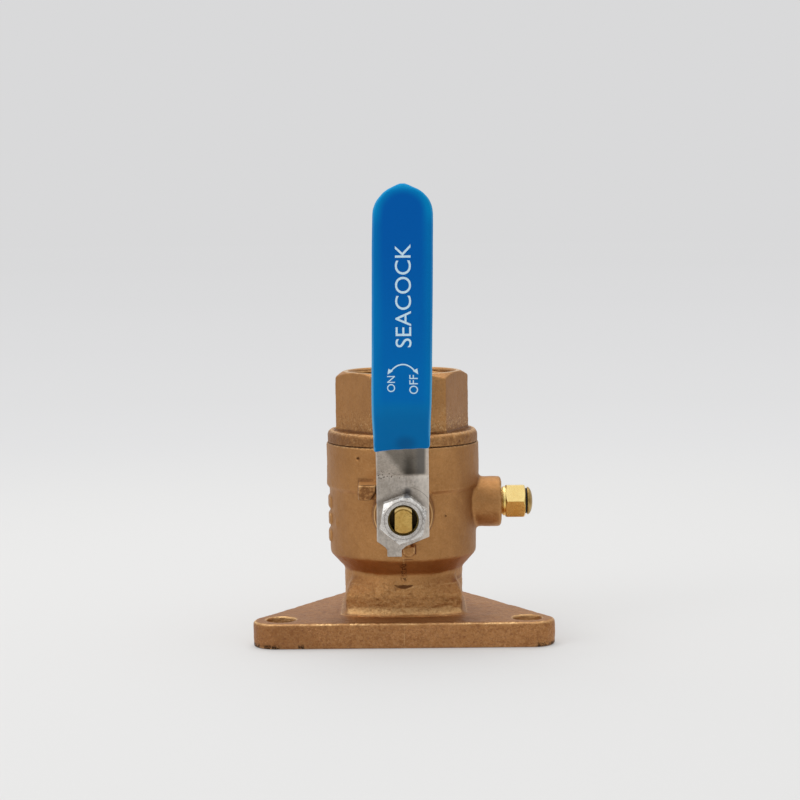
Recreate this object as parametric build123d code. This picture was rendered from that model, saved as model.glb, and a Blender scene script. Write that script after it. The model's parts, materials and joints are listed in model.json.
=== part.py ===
from build123d import *
import os
import math

# Bronze seacock: a full-bore 1-1/2 inch ball valve standing on a triangular
# three-bolt hull flange.  Millimetres.  X to the right, Y to the back, Z up.
# The origin is the centre of the flange's underside, on the flow axis.
# The lever faces the front (-Y) and rests open, along +Z.
# "Distance" means distance in front of the flow axis, so it is -Y.
# "Height" means height above the stem axis.

os.makedirs("parts", exist_ok=True)

# ---------------------------------------------------------- shared dimensions
# flange
flange_inradius = 43.0       # centre to the middle of each straight side
flange_corner_r = 10.2
flange_t = 11.35
bolt_pcd = 126.4
bolt_hole_r = 6.5
bolt_angles = (-150, -30, 90)

# foot of the neck
foot_half_x = 26.2
foot_corner_y = 22.2
foot_crown_y = 28.2
foot_corner_r = 3.0
wall_top_z = 20.8            # the foot is upright to here, then runs into the round neck
blend_top_z = 28.6
root_z = 5.0                 # foot and neck start here, inside the flange

# neck, chamber and top band
neck_r = 26.9
shoulder_z0, shoulder_z1 = 30.2, 37.3
shoulder_root_r = 3.6
shoulder_edge_r = 3.4
chamber_r = 33.4
step_z0, step_z1 = 66.5, 68.3
upper_r = 34.75
body_top_z = 87.55
cavity_r = 29.5
cavity_z0 = 43.0

# flow way
port_r = 23.9                # G 1-1/2 major radius, both ends
port_depth = 26.0
bore_r = 19.0

# ball and seats; near and far are measured from the ball centre
stem_z = 58.9                # stem axis and ball centre
ball_r = 28.5
seat_gap = 0.03
seat_out_r = 25.5
seat_in_r = 19.3
seat_near = 16.4
seat_far = 24.5
seat_pocket_r = seat_out_r + 0.05

# end adapter and the seal under its collar
adapter_top_z = 120.0
collar_r = 34.25
collar_top_z = 93.4
male_r = 31.4
male_end_z = 75.3
socket_r = 31.45
socket_end_z = 73.6
seal_pocket_r = 33.0
seal_t = 2.0

# stem stack, as distances
tang_end = 22.9
collar_in = 28.8
collar_out = 31.1
web_in = 31.9
web_out = 34.1
packing_t = 1.2
follower_in = web_out + 3 * packing_t
follower_out = 38.4
boss_face = 41.3
gland_head_out = 43.7
stem_end = 56.5
stem_r = 6.0
stem_flat = 7.4              # across the two flats
stem_collar_r = 8.6
box_r = 8.75                 # packing box
boss_r = 13.6

# lever plate
lever_back = 44.0
lever_front = lever_back + 3.0
bend_1 = 18.6                # heights of the two bends
bend_2 = 52.7
grip_shift = 25.9            # how far the grip stands in front of the eye
inner_bend_r = 3.0
outer_bend_r = 6.0

# drain, on the right
drain_z = 59.4
drain_boss_r = 11.45
drain_boss_end = 44.9
drain_thread_r = 4.85
drain_hex_end = 55.85
drain_screw_r = 3.0


# ------------------------------------------------------------------- helpers
def cyl_z(radius, z0, z1, x=0.0, y=0.0):
    """Cylinder along Z."""
    return Pos(x, y, (z0 + z1) / 2) * Cylinder(radius, z1 - z0)


def cyl_y(radius, d0, d1):
    """Cylinder on the stem axis, between two distances."""
    return Pos(0, -(d0 + d1) / 2, stem_z) * Rot(90, 0, 0) * Cylinder(radius, d1 - d0)


def cyl_x(radius, x0, x1):
    """Cylinder on the drain axis."""
    return Pos((x0 + x1) / 2, 0, drain_z) * Rot(0, 90, 0) * Cylinder(radius, x1 - x0)


def ring_z(outer_r, inner_r, z0, z1):
    return cyl_z(outer_r, z0, z1) - cyl_z(inner_r, z0 - 1, z1 + 1)


def ring_y(outer_r, inner_r, d0, d1):
    return cyl_y(outer_r, d0, d1) - cyl_y(inner_r, d0 - 1, d1 + 1)


def box_y(width, height, d0, d1, x=0.0):
    """Box level with the stem axis, between two distances."""
    return Pos(x, -(d0 + d1) / 2, stem_z) * Box(width, d1 - d0, height)


def xz_face(points):
    return make_face(Plane.XZ * Polyline(*points, close=True))


def turned_z(points):
    """Turned solid about the flow axis from (radius, z) points."""
    return revolve(xz_face(points), Axis.Z)


def turned_y(points):
    """Turned solid about the stem axis from (radius, distance) points."""
    solid = revolve(make_face(Polyline(*points, close=True)), Axis.Y)
    return Pos(0, 0, stem_z) * Rot(180, 0, 0) * solid


def turned_x(points):
    """Turned solid about the drain axis from (x, radius) points."""
    return Pos(0, 0, drain_z) * revolve(make_face(Polyline(*points, close=True)), Axis.X)


def front_prism(points, d0, d1):
    """Plate with an (x, height) outline, between two distances."""
    outline = Polyline(*[(x, height + stem_z) for x, height in points], close=True)
    return extrude(make_face(Plane.XZ.offset(d0) * outline), amount=d1 - d0)


def hex_bar(across_flats, length, clock):
    """Hexagon prism on Z from z=0, one corner at the clock angle from X."""
    radius = across_flats / math.sqrt(3)
    angles = [math.radians(clock + 60 * k) for k in range(6)]
    points = [(radius * math.cos(a), radius * math.sin(a)) for a in angles]
    return extrude(make_face(Polyline(*points, close=True)), amount=length)


def round_corners(face, *corners):
    """Round corners of an XZ face one by one, each given as (x, z, radius)."""
    for x, z, radius in corners:
        found = [v for v in face.vertices() if abs(v.X - x) < 0.05 and abs(v.Z - z) < 0.05]
        face = fillet(found, radius)
    return face


def cut_port(part, mouth_z, inward, chamfer_w, chamfer_h):
    """Cut a threaded port with its mouth chamfer and the cone down to the bore.
    inward is +1 when the port runs upwards and -1 when it runs downwards."""
    def z_at(depth):
        return mouth_z + inward * depth

    part = part - cyl_z(port_r, *sorted((z_at(-1), z_at(port_depth))))
    part = part - turned_z([
        (port_r - 1, z_at(-0.1)), (port_r + chamfer_w, z_at(-0.1)),
        (port_r + chamfer_w, z_at(0)), (port_r, z_at(chamfer_h)), (port_r - 1, z_at(chamfer_h))])
    cone_start, cone_end = z_at(port_depth - 0.5), z_at(port_depth + 1.9)
    return part - turned_z([
        (0, cone_start), (port_r - 2.4, cone_start), (bore_r, cone_end), (0, cone_end)])


# ----------------------------------------------------- valve body, outer shape
def make_flange():
    """Equilateral plate, one corner to the back."""
    half_side = flange_inradius * math.sqrt(3)
    plan = make_face(Polyline(
        (-half_side, -flange_inradius), (half_side, -flange_inradius),
        (0, 2 * flange_inradius), close=True))
    plan = fillet(plan.vertices(), flange_corner_r)
    flange = extrude(plan, amount=flange_t)
    flange = fillet(flange.edges().group_by(Axis.Z)[-1], 1.5)
    return fillet(flange.edges().group_by(Axis.Z)[0], 0.9)


def foot_plan(half_x, corner_y, crown_y, corner_r):
    """Squarish outline, its front and back crowned: eight curves in a fixed order."""
    face = make_face([
        ThreePointArc((-half_x, -corner_y), (0, -crown_y), (half_x, -corner_y)),
        Line((half_x, -corner_y), (half_x, corner_y)),
        ThreePointArc((half_x, corner_y), (0, crown_y), (-half_x, corner_y)),
        Line((-half_x, corner_y), (-half_x, -corner_y))])
    return fillet(face.vertices(), corner_r)


def make_foot():
    """Upright wall, then corners that lean back into the round neck."""
    plan = foot_plan(foot_half_x, foot_corner_y, foot_crown_y, foot_corner_r)
    wall = Pos(0, 0, root_z) * extrude(plan, amount=wall_top_z - root_z)
    top_r = neck_r - 0.25
    top_plan = foot_plan(top_r * 0.86, top_r * 0.55, top_r, 7.0)
    lean = loft([Pos(0, 0, wall_top_z) * plan, Pos(0, 0, blend_top_z) * top_plan])
    return wall + lean


def make_turned_shell():
    """Neck, shoulder, chamber and top band, still solid."""
    profile = xz_face([
        (0, root_z), (neck_r, root_z), (neck_r, shoulder_z0), (chamber_r, shoulder_z1),
        (chamber_r, step_z0), (upper_r, step_z1), (upper_r, body_top_z), (0, body_top_z)])
    profile = round_corners(
        profile,
        (neck_r, shoulder_z0, shoulder_root_r), (chamber_r, shoulder_z1, shoulder_edge_r),
        (chamber_r, step_z0, 1.4), (upper_r, step_z1, 1.2), (upper_r, body_top_z, 0.5))
    return revolve(profile, Axis.Z)


def foot_base_edges(shape):
    """Edges where the foot meets the flange's top."""
    return [edge for edge in shape.edges()
            if all(abs(p.Z - flange_t) < 0.02 and abs(p.X) < 28 and abs(p.Y) < 30
                   for p in (edge @ 0.0, edge @ 0.5, edge @ 1.0))]


def boss_root_edges(shape, on_right, axis_z, radius):
    """Edges where a round boss, on the right or the front, leaves the chamber."""
    found = []
    for edge in shape.edges():
        points = [edge @ t for t in (0.1, 0.3, 0.5, 0.7, 0.9)]
        places = [(p.X, p.Y, p.Z) if on_right else (-p.Y, p.X, p.Z) for p in points]
        on_root = all(29.0 < out < 35.2 and abs(math.hypot(side, z - axis_z) - radius) < 0.05
                      for out, side, z in places)
        if on_root and edge.length > 1.0:
            found.append(edge)
    return found


def add_bosses(body):
    boss_start = 22.0
    root_fillet_r = 1.6
    drain_boss = cyl_x(drain_boss_r, boss_start, drain_boss_end)
    drain_boss = fillet(drain_boss.edges().sort_by(Axis.X)[-1], 1.5)
    body = body + drain_boss
    stem_boss = cyl_y(boss_r, boss_start, boss_face)
    stem_boss = chamfer(stem_boss.edges().sort_by(Axis.Y)[0], 0.9)
    body = body + stem_boss
    for on_right, axis_z, radius in ((True, drain_z, drain_boss_r), (False, stem_z, boss_r)):
        roots = boss_root_edges(body, on_right, axis_z, radius)
        # fillet refuses an empty list, so a boss without a found root stays sharp
        if roots:
            body = fillet(roots, root_fillet_r)
    return body


def add_lever_stops(body):
    """Each stop is a root behind the lever and a nose in the lever's own plane,
    the nose cut clear of the lever's sweep.  The off stop is on the left above
    the stem axis, the on stop is below it."""
    root_out = lever_back - 0.4
    nose_out = lever_front - 0.5
    off_left, off_bottom, off_top = -19.7, 7.3, 13.9

    def off_outline(right):
        return [(off_left, off_bottom), (right, off_bottom), (right, off_top), (off_left, off_top)]

    def on_outline(top):
        return [(-0.35, top), (5.15, top), (5.15, -17.2), (3.6, -19.1), (1.4, -19.1),
                (-0.35, -17.6)]

    off_root = front_prism(off_outline(-10.5), 27.0, root_out)
    off_nose = front_prism(off_outline(-11.9), 40.0, nose_out) - cyl_y(16.2, 39.0, 50.0)
    on_root = front_prism(on_outline(-9.0), 29.0, root_out)
    on_nose = front_prism(on_outline(-14.2), 38.0, nose_out) - cyl_y(14.8, root_out, 50.0)
    off_nose = fillet(off_nose.edges().group_by(Axis.Y)[0], 0.6)
    on_nose = fillet(on_nose.edges().group_by(Axis.Y)[0], 0.6)
    return body + off_root + off_nose + on_root + on_nose


def make_pad(z):
    """Raised cast pad on the left of the chamber, its face following the chamber."""
    pad = Pos(-33.2, 0, z) * Box(4.0, 17.0, 4.9)
    pad = fillet(pad.edges().filter_by(Axis.X), 1.6)
    face_r = chamber_r + 0.85
    return pad & turned_z([(28.0, z - 4), (face_r, z - 4), (face_r, z + 4), (28.0, z + 4)])


def add_parting_line(body):
    """Thin ridge of the mould's parting line, front and back."""
    ridge_w = 0.9
    inner_r = 20
    ridge_neck_r = neck_r + 0.3
    ridge_chamber_r = chamber_r + 0.28
    ridge_upper_r = upper_r + 0.25
    bottom_z, top_z = 12.0, body_top_z - 1.0
    profile = xz_face([
        (inner_r, bottom_z), (ridge_neck_r, bottom_z), (ridge_neck_r, shoulder_z0 - 0.1),
        (ridge_chamber_r, shoulder_z1 - 0.1), (ridge_chamber_r, step_z0),
        (ridge_upper_r, step_z1), (ridge_upper_r, top_z), (inner_r, top_z)])
    profile = round_corners(
        profile,
        (ridge_neck_r, shoulder_z0 - 0.1, shoulder_root_r),
        (ridge_chamber_r, shoulder_z1 - 0.1, shoulder_edge_r))
    ridge = revolve(profile, Axis.Z) & (Pos(0, 0, 50) * Box(ridge_w, 90, 100))
    foot_z0 = 12.5
    foot_ridge = Pos(0, 0, (foot_z0 + wall_top_z) / 2) * Box(
        ridge_w, 2 * foot_crown_y + 0.4, wall_top_z - foot_z0)
    return body + ridge + foot_ridge


def make_dent():
    """Cutter for the small crescent where the crowned foot meets the neck in front."""
    dent_x = -0.4
    scoop = Pos(dent_x, -foot_crown_y - 3.1, 24.6) * Rot(0, 90, 0) * Cylinder(4.6, 40)
    limit = Pos(dent_x, -foot_crown_y - 0.2, 30.5) * Rot(90, 0, 0) * Cylinder(6.6, 6)
    return scoop & limit


# ---------------------------------------------------------- valve body, inside
def cut_flow_way(body):
    body = cut_port(body, 0.0, 1, chamfer_w=0.9, chamfer_h=0.8)
    body = body - cyl_z(bore_r, port_depth - 1, stem_z)
    body = body - cyl_z(seat_pocket_r, stem_z - seat_far, stem_z)
    body = body - cyl_z(cavity_r, cavity_z0, body_top_z + 1)
    body = body - cyl_z(socket_r, socket_end_z, body_top_z + 1)
    return body - cyl_z(seal_pocket_r, body_top_z - seal_t, body_top_z + 1)


def cut_stem_way(body):
    """Collar pocket, stem bore and packing box."""
    body = body - cyl_y(stem_collar_r + 0.2, 20.0, web_in)
    body = body - cyl_y(stem_r + 0.05, 20.0, 60.0)
    return body - cyl_y(box_r, web_out, 60.0)


def cut_drain_way(body):
    """Threaded hole, passage into the cavity and mouth chamfer."""
    body = body - cyl_x(drain_thread_r, 33.6, 60.0)
    body = body - cyl_x(2.5, 20.0, 40.0)
    return body - turned_x([
        (drain_boss_end - 0.6, drain_thread_r - 0.5), (drain_boss_end - 0.6, drain_thread_r),
        (drain_boss_end + 0.1, drain_thread_r + 0.7), (drain_boss_end + 0.1, drain_thread_r - 0.5)])


def cut_bolt_holes(body):
    for angle in bolt_angles:
        x = bolt_pcd / 2 * math.cos(math.radians(angle))
        y = bolt_pcd / 2 * math.sin(math.radians(angle))
        body = body - cyl_z(bolt_hole_r, -1, flange_t + 1, x, y)
        body = body - Pos(x, y, 0) * turned_z([
            (bolt_hole_r - 1, flange_t - 0.35), (bolt_hole_r, flange_t - 0.35),
            (bolt_hole_r + 0.4, flange_t + 0.05), (bolt_hole_r - 1, flange_t + 0.05)])
    return body


def make_body():
    body = make_flange() + make_foot()
    body = fillet(foot_base_edges(body), 3.2)
    body = body + make_turned_shell()
    body = add_bosses(body)
    body = add_lever_stops(body)
    pads = make_pad(60.4) + make_pad(52.9) + make_pad(45.1)
    body = body + pads
    body = add_parting_line(body)
    body = body - make_dent()
    body = cut_flow_way(body)
    body = cut_stem_way(body)
    body = cut_drain_way(body)
    return cut_bolt_holes(body)


# ------------------------------------------------------- end adapter and seal
def make_adapter():
    hex_af = 53.4
    hex_clock = 39.1             # degrees, one corner measured from the front
    hex_z0 = collar_top_z - 3    # the hexagon starts inside the collar
    cone_r = 40                  # outside the hexagon's corners
    crown_r = 26.3               # where the corner bevel meets the top
    bevel_z = adapter_top_z - (cone_r - crown_r) * math.tan(math.radians(29))
    hexagon = Pos(0, 0, hex_z0) * hex_bar(hex_af, adapter_top_z - hex_z0, hex_clock - 90)
    hexagon = hexagon & turned_z([
        (0, hex_z0), (cone_r, hex_z0), (cone_r, bevel_z),
        (crown_r, adapter_top_z), (0, adapter_top_z)])

    lead_in = 0.8
    collar = xz_face([
        (0, male_end_z), (male_r - lead_in, male_end_z), (male_r, male_end_z + lead_in),
        (male_r, body_top_z), (collar_r, body_top_z), (collar_r, collar_top_z),
        (0, collar_top_z)])
    collar = round_corners(collar, (collar_r, collar_top_z, 2.6), (collar_r, body_top_z, 0.5))
    adapter = hexagon + revolve(collar, Axis.Z)

    # turned groove that runs round the foot of the hexagon
    groove_z0, groove_z1 = collar_top_z - 0.35, collar_top_z + 0.2
    adapter = adapter - turned_z([
        (31.2, groove_z0), (31.9, groove_z0), (32.2, groove_z1), (30.95, groove_z1)])
    adapter = cut_port(adapter, adapter_top_z, -1, chamfer_w=0.85, chamfer_h=0.85)
    adapter = adapter - cyl_z(bore_r, 60, adapter_top_z)
    return adapter - cyl_z(seat_pocket_r, 60, stem_z + seat_far)


def make_body_seal():
    return ring_z(seal_pocket_r - 0.03, male_r + 0.02, body_top_z - seal_t, body_top_z)


# ----------------------------------------------------------------- ball, seats
def make_ball():
    """Bored ball with a slot in front for the stem's tang."""
    ball = Pos(0, 0, stem_z) * Sphere(ball_r)
    ball = ball - cyl_z(bore_r, 20, 100)
    slot = box_y(24.0, 5.1, tang_end - 0.3, 35)
    ball = ball - fillet(slot.edges().filter_by(Axis.Y), 2.5)
    rim_height = math.sqrt(ball_r ** 2 - bore_r ** 2)
    rims = [edge for edge in ball.edges()
            if abs(abs(edge.center().Z - stem_z) - rim_height) < 0.1]
    return fillet(rims, 0.6)


def make_seat(z0, z1):
    ring = ring_z(seat_out_r, seat_in_r, z0, z1)
    return ring - Pos(0, 0, stem_z) * Sphere(ball_r + seat_gap)


# ------------------------------------------------------------------ stem stack
def make_stem():
    groove_r = 4.9               # O-ring groove
    groove_in, groove_out = 32.4, 33.6
    stem = turned_y([
        (0, collar_in), (stem_collar_r - 0.4, collar_in), (stem_collar_r, collar_in + 0.4),
        (stem_collar_r, collar_out), (stem_r, collar_out),
        (stem_r, groove_in), (groove_r, groove_in), (groove_r, groove_out), (stem_r, groove_out),
        (stem_r, stem_end - 0.5), (stem_r - 0.5, stem_end), (0, stem_end)])
    cutter_w = 10
    for side in (-1, 1):
        x = side * (stem_flat + cutter_w) / 2
        stem = stem - box_y(cutter_w, 20, lever_back - 0.1, 60, x)
    tang = box_y(12.0, 5.0, tang_end, collar_in + 0.2)
    return stem + fillet(tang.edges().filter_by(Axis.Y), 1.5)


def make_thrust_washer():
    return ring_y(stem_collar_r, stem_r + 0.04, collar_out, web_in)


def make_stem_oring():
    return Pos(0, -33.0, stem_z) * Rot(90, 0, 0) * Torus(5.48, 0.54)


def make_packing(index):
    """Packing ring, counted outwards from the web."""
    start = web_out + index * packing_t
    return ring_y(box_r - 0.03, stem_r + 0.03, start, start + packing_t)


def make_follower():
    return ring_y(box_r - 0.05, stem_r + 0.06, follower_in, follower_out)


def make_gland_nut():
    """Male thread in the packing box, hexagon head behind the lever."""
    thread = cyl_y(box_r - 0.04, follower_out, boss_face)
    head = hex_bar(17.0, gland_head_out - boss_face, clock=0)
    head = Pos(0, -boss_face, stem_z) * Rot(90, 0, 0) * head
    bevel = turned_y([
        (0, boss_face), (11, boss_face), (11, gland_head_out - 1.0),
        (8.4, gland_head_out), (0, gland_head_out)])
    return thread + (head & bevel) - cyl_y(stem_r + 0.06, 30, 50)


# ------------------------------------------------------------ lever and sleeve
# Both outlines are (x, height) points, running up the right side, round the
# tip and down the left side.
lever_outline = [
    # eye
    (-11.6, -10.6), (-7.95, -13.2), (-7.1, -14.4), (-7.1, -17.4), (-0.75, -17.4),
    (-0.75, -14.4), (1.1, -12.8), (11.3, -8.7),
    # right side
    (11.3, 20.0), (11.05, 36.0), (11.2, 46.0), (11.6, 60.0), (12.35, 118.0),
    # tip
    (12.4, 128.5), (11.75, 133.4), (10.0, 136.6), (7.3, 139.0), (4.0, 140.7), (0.9, 141.6),
    (-2.3, 140.7), (-5.6, 139.0), (-8.3, 136.6), (-10.05, 133.4), (-10.7, 128.5),
    # left side
    (-11.0, 118.0), (-11.75, 60.0), (-11.75, 46.0), (-11.65, 36.0), (-11.6, 20.0)]

sleeve_wall = 1.1
sleeve_outline = [
    # right side
    (11.6, 31.2), (11.68, 36.0), (11.85, 41.0), (12.15, 47.0), (12.5, 54.0), (12.75, 70.0),
    (13.1, 90.0), (13.5, 116.0), (13.6, 129.5),
    # tip
    (13.45, 132.9), (12.95, 135.2), (11.95, 137.2), (10.6, 138.95), (8.8, 140.6),
    (6.6, 141.95), (4.1, 142.95), (2.0, 143.6), (0.9, 143.9), (-0.2, 143.6), (-2.2, 142.95),
    (-4.75, 141.95), (-6.9, 140.6), (-8.6, 138.95), (-9.95, 137.2), (-11.05, 135.2),
    (-11.6, 132.9),
    # left side
    (-11.85, 129.5), (-12.1, 116.0), (-12.42, 95.0), (-12.65, 72.0), (-12.85, 55.0),
    (-12.8, 47.0), (-12.58, 41.0), (-12.35, 36.0), (-12.25, 29.7)]


def bent_bar(back, front, inner_r, outer_r):
    """Wide bar following the lever's two bends; back and front are its
    distances at the eye.  It overruns the lever at both ends and both sides."""
    bottom, top, half_width = -30.0, 160.0, 20.0
    slope = math.atan2(grip_shift, bend_2 - bend_1)
    middle = (lever_back + lever_front) / 2

    def face_path(distance):
        """(distance, height) corners of one face, mitred at the bends."""
        mitre = (distance - middle) * math.tan(slope / 2)
        grip = distance + grip_shift
        return [(distance, bottom), (distance, bend_1 - mitre),
                (grip, bend_2 - mitre), (grip, top)]

    front_path, back_path = face_path(front), face_path(back)
    loop = front_path + back_path[::-1]
    profile = make_face(Plane.YZ * Polyline(*[(-d, h + stem_z) for d, h in loop], close=True))
    # the first bend opens forward: its front corner is the inside of the bend
    for (distance, height), radius in (
            (front_path[1], inner_r), (back_path[1], outer_r),
            (front_path[2], outer_r), (back_path[2], inner_r)):
        found = [v for v in profile.vertices()
                 if abs(v.Y + distance) < 0.02 and abs(v.Z - height - stem_z) < 0.02]
        profile = fillet(found, radius)
    return extrude(profile, amount=half_width, both=True)


def make_lever_blank():
    """The bent lever before its hole is cut."""
    bar = bent_bar(lever_back, lever_front, inner_bend_r, outer_bend_r)
    return bar & front_prism(lever_outline, 40.0, 80.0)


def make_lever(blank):
    """Lever with a double-D hole for the stem."""
    hole = cyl_y(stem_r + 0.06, 40, 50) & box_y(stem_flat + 0.12, 20, 35, 55)
    return blank - hole


def make_sleeve(blank):
    """Grip sleeve, hollowed by the lever."""
    bar = bent_bar(lever_back - sleeve_wall, lever_front + sleeve_wall,
                   inner_bend_r - 0.6, outer_bend_r + sleeve_wall)
    return (bar & front_prism(sleeve_outline, 40.0, 85.0)) - blank


def make_lever_nut():
    """M12 nut, bevelled outside and countersunk at both ends."""
    nut_h = 10.0
    nut_out = lever_front + nut_h
    hole_r = stem_r + 0.05
    nut = Pos(0, -lever_front, stem_z) * Rot(90, 0, 0) * hex_bar(19.0, nut_h, clock=80)
    nut = nut & turned_y([
        (0, lever_front), (9.2, lever_front), (11.2, lever_front + 1.15),
        (11.2, nut_out - 1.75), (8.3, nut_out), (0, nut_out)])
    nut = nut - cyl_y(hole_r, 40, 70)
    nut = nut - turned_y([
        (5, nut_out + 0.1), (6.85, nut_out + 0.1), (6.72, nut_out), (6.55, nut_out - 1.5),
        (hole_r, nut_out - 2.0), (5, nut_out - 2.0)])
    return nut - turned_y([
        (5, lever_front - 0.1), (6.85, lever_front - 0.1), (6.7, lever_front),
        (hole_r, lever_front + 0.75), (5, lever_front + 0.75)])


# ----------------------------------------------------------------------- drain
def make_drain_fitting():
    face = drain_boss_end
    thread_r = drain_thread_r - 0.03
    hex_x0 = face + 2.0
    turned = turned_x([
        (34.6, 0), (34.6, drain_thread_r - 0.75), (35.3, thread_r), (face - 0.7, thread_r),
        (face, drain_thread_r - 0.5), (face, 6.15), (face + 0.75, 6.15),
        (face + 0.95, 6.7), (face + 2.3, 6.7), (face + 2.3, 0)])
    hexagon = Pos(hex_x0, 0, drain_z) * Rot(0, 90, 0) * hex_bar(
        14.4, drain_hex_end - hex_x0, clock=85)
    bevel = turned_x([
        (hex_x0, 0), (hex_x0, 7.0), (face + 2.6, 8.3), (drain_hex_end - 0.9, 8.3),
        (drain_hex_end, 6.9), (drain_hex_end, 0)])
    fitting = turned + (hexagon & bevel)
    # screw hole, narrow passage and the cone between them
    hole_r = drain_screw_r + 0.03
    fitting = fitting - cyl_x(hole_r, 42.6, 60)
    fitting = fitting - cyl_x(1.6, 30, 45)
    return fitting - turned_x([(40.8, 0), (42.61, hole_r), (42.61, 0)])


def make_drain_screw():
    """Screw with a blunt cone tip and a domed head."""
    shank_r = drain_screw_r - 0.02
    head_r = 6.35
    dome_h = 2.35
    head_x = drain_hex_end + 1.0
    dome_x = head_x + 0.2
    dome = [(dome_x + dome_h * math.sin(t * math.pi / 20),
             head_r * math.cos(t * math.pi / 20) if t < 10 else 0.0)
            for t in range(1, 11)]
    return turned_x([
        (41.6, 0), (41.6, 1.1), (43.4, shank_r), (head_x, shank_r),
        (head_x, head_r - 0.2), (dome_x, head_r)] + dome)


def make_drain_screw_ring():
    return Pos(drain_hex_end + 0.5, 0, drain_z) * Rot(0, 90, 0) * Torus(5.3, 0.5)


# ----------------------------------------------------------------------- write
def save(shape, name):
    solids = shape.solids()
    out = solids[0] if len(solids) == 1 else Compound(children=list(solids))
    export_step(out, os.path.join("parts", name + ".step"))


lever_blank = make_lever_blank()
pieces = {
    "valve_body": make_body(),
    "end_adapter": make_adapter(),
    "body_seal_ring": make_body_seal(),
    "ball": make_ball(),
    "seat_lower": make_seat(stem_z - seat_far, stem_z - seat_near),
    "seat_upper": make_seat(stem_z + seat_near, stem_z + seat_far),
    "stem": make_stem(),
    "stem_thrust_washer": make_thrust_washer(),
    "stem_oring": make_stem_oring(),
    "packing_ring_inner": make_packing(0),
    "packing_ring_middle": make_packing(1),
    "packing_ring_outer": make_packing(2),
    "gland_follower": make_follower(),
    "gland_nut": make_gland_nut(),
    "lever": make_lever(lever_blank),
    "grip_sleeve": make_sleeve(lever_blank),
    "lever_nut": make_lever_nut(),
    "drain_fitting": make_drain_fitting(),
    "drain_screw": make_drain_screw(),
    "drain_screw_ring": make_drain_screw_ring(),
}
for name, shape in pieces.items():
    save(shape, name)
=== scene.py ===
# A bronze ball valve with a bolting flange, a hexagonal end adapter and a blue-sleeved steel lever.
# The flange stands on z = 0 and the bore runs up +Z. The lever turns about the stem, which points
# to the front (-Y) at height STEM_Z; the drain screw points right (+X) at height DRAIN_Z.
import json
import math
from contextlib import contextmanager
from functools import cached_property, reduce
from itertools import product

import bmesh
import bpy
import numpy as np
from mathutils import Matrix, Vector


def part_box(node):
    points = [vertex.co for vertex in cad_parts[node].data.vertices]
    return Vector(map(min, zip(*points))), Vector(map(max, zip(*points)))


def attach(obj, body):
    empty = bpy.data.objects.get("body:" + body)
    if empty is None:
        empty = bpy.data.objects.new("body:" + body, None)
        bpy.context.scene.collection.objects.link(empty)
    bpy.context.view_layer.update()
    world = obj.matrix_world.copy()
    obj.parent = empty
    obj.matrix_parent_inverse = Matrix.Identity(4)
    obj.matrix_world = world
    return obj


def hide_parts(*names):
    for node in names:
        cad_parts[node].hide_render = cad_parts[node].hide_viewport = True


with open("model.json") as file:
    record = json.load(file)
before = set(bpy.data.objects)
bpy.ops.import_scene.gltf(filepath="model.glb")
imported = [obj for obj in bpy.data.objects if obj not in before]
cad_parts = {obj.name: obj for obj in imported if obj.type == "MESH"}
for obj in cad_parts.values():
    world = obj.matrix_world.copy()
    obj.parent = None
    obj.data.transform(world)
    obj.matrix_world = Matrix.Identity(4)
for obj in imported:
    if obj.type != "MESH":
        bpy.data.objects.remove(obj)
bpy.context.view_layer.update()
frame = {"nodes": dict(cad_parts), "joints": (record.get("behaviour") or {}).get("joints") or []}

MM = 0.001
NODES = frame["nodes"]
JOINTS = {joint["name"]: joint for joint in frame["joints"]}
STEM_Z = JOINTS["lever_turn"]["pos_m"][2]
DRAIN_Z = JOINTS["drain_screw_turn"]["pos_m"][2]
BODY_LO, BODY_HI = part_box("valve_body")
ADAPTER_LO, ADAPTER_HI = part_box("end_adapter")
GRIP_LO, GRIP_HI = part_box("grip_sleeve")
BODY_TOP = BODY_HI.z
ADAPTER_TOP = ADAPTER_HI.z

BORE_RADIUS = 0.0239
BOLT_CIRCLE = 0.0632
FLANGE_TOP = 0.01135
COLLAR_RADIUS = 0.03425            # round part of the adapter, under the hexagon
# (x, y) of the flange's bolt holes
BOLT_HOLES = [(BOLT_CIRCLE * math.cos(math.radians(angle)), BOLT_CIRCLE * math.sin(math.radians(angle)))
              for angle in (-150, -30, 90)]
# the two blow holes on the front of the chamber: x, y, z
BLOW_HOLE_LEFT = (-0.02002, -0.02841, 0.08271)
BLOW_HOLE_RIGHT = (0.01906, -0.02743, 0.05651)

scene = bpy.context.scene


# ================================================================== noise
GRADIENTS = np.array([
    (1, 1, 0), (-1, 1, 0), (1, -1, 0), (-1, -1, 0), (1, 0, 1), (-1, 0, 1), (1, 0, -1), (-1, 0, -1),
    (0, 1, 1), (0, -1, 1), (0, 1, -1), (0, -1, -1), (1, 1, 0), (-1, 1, 0), (0, -1, 1), (0, -1, -1),
], float)


def cell_hash(cell, seed):
    """A scrambled whole number for each lattice cell."""
    h = (cell[:, 0] * 374761393 + cell[:, 1] * 668265263 + cell[:, 2] * 2147483647
         + seed * 1274126177) & 0xFFFFFFFF
    h = ((h ^ (h >> 13)) * 1274126177) & 0xFFFFFFFF
    return h ^ (h >> 16)


def noise3(points, size, seed=0):
    """Gradient noise, about -1..1, with features of the given size in metres."""
    scaled = points / size + 1000.0 + seed * 17.31
    cell = np.floor(scaled).astype(np.int64)
    inside = scaled - cell
    ease = inside * inside * inside * (inside * (inside * 6 - 15) + 10)
    out = np.zeros(len(points))
    for corner in product((0, 1), repeat=3):
        weight = np.where(corner, ease, 1 - ease)
        gradient = GRADIENTS[cell_hash(cell + np.array(corner), seed) & 15]
        offset = inside - np.array(corner, float)
        out += weight[:, 0] * weight[:, 1] * weight[:, 2] * (gradient * offset).sum(1)
    return out * 1.2


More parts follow.
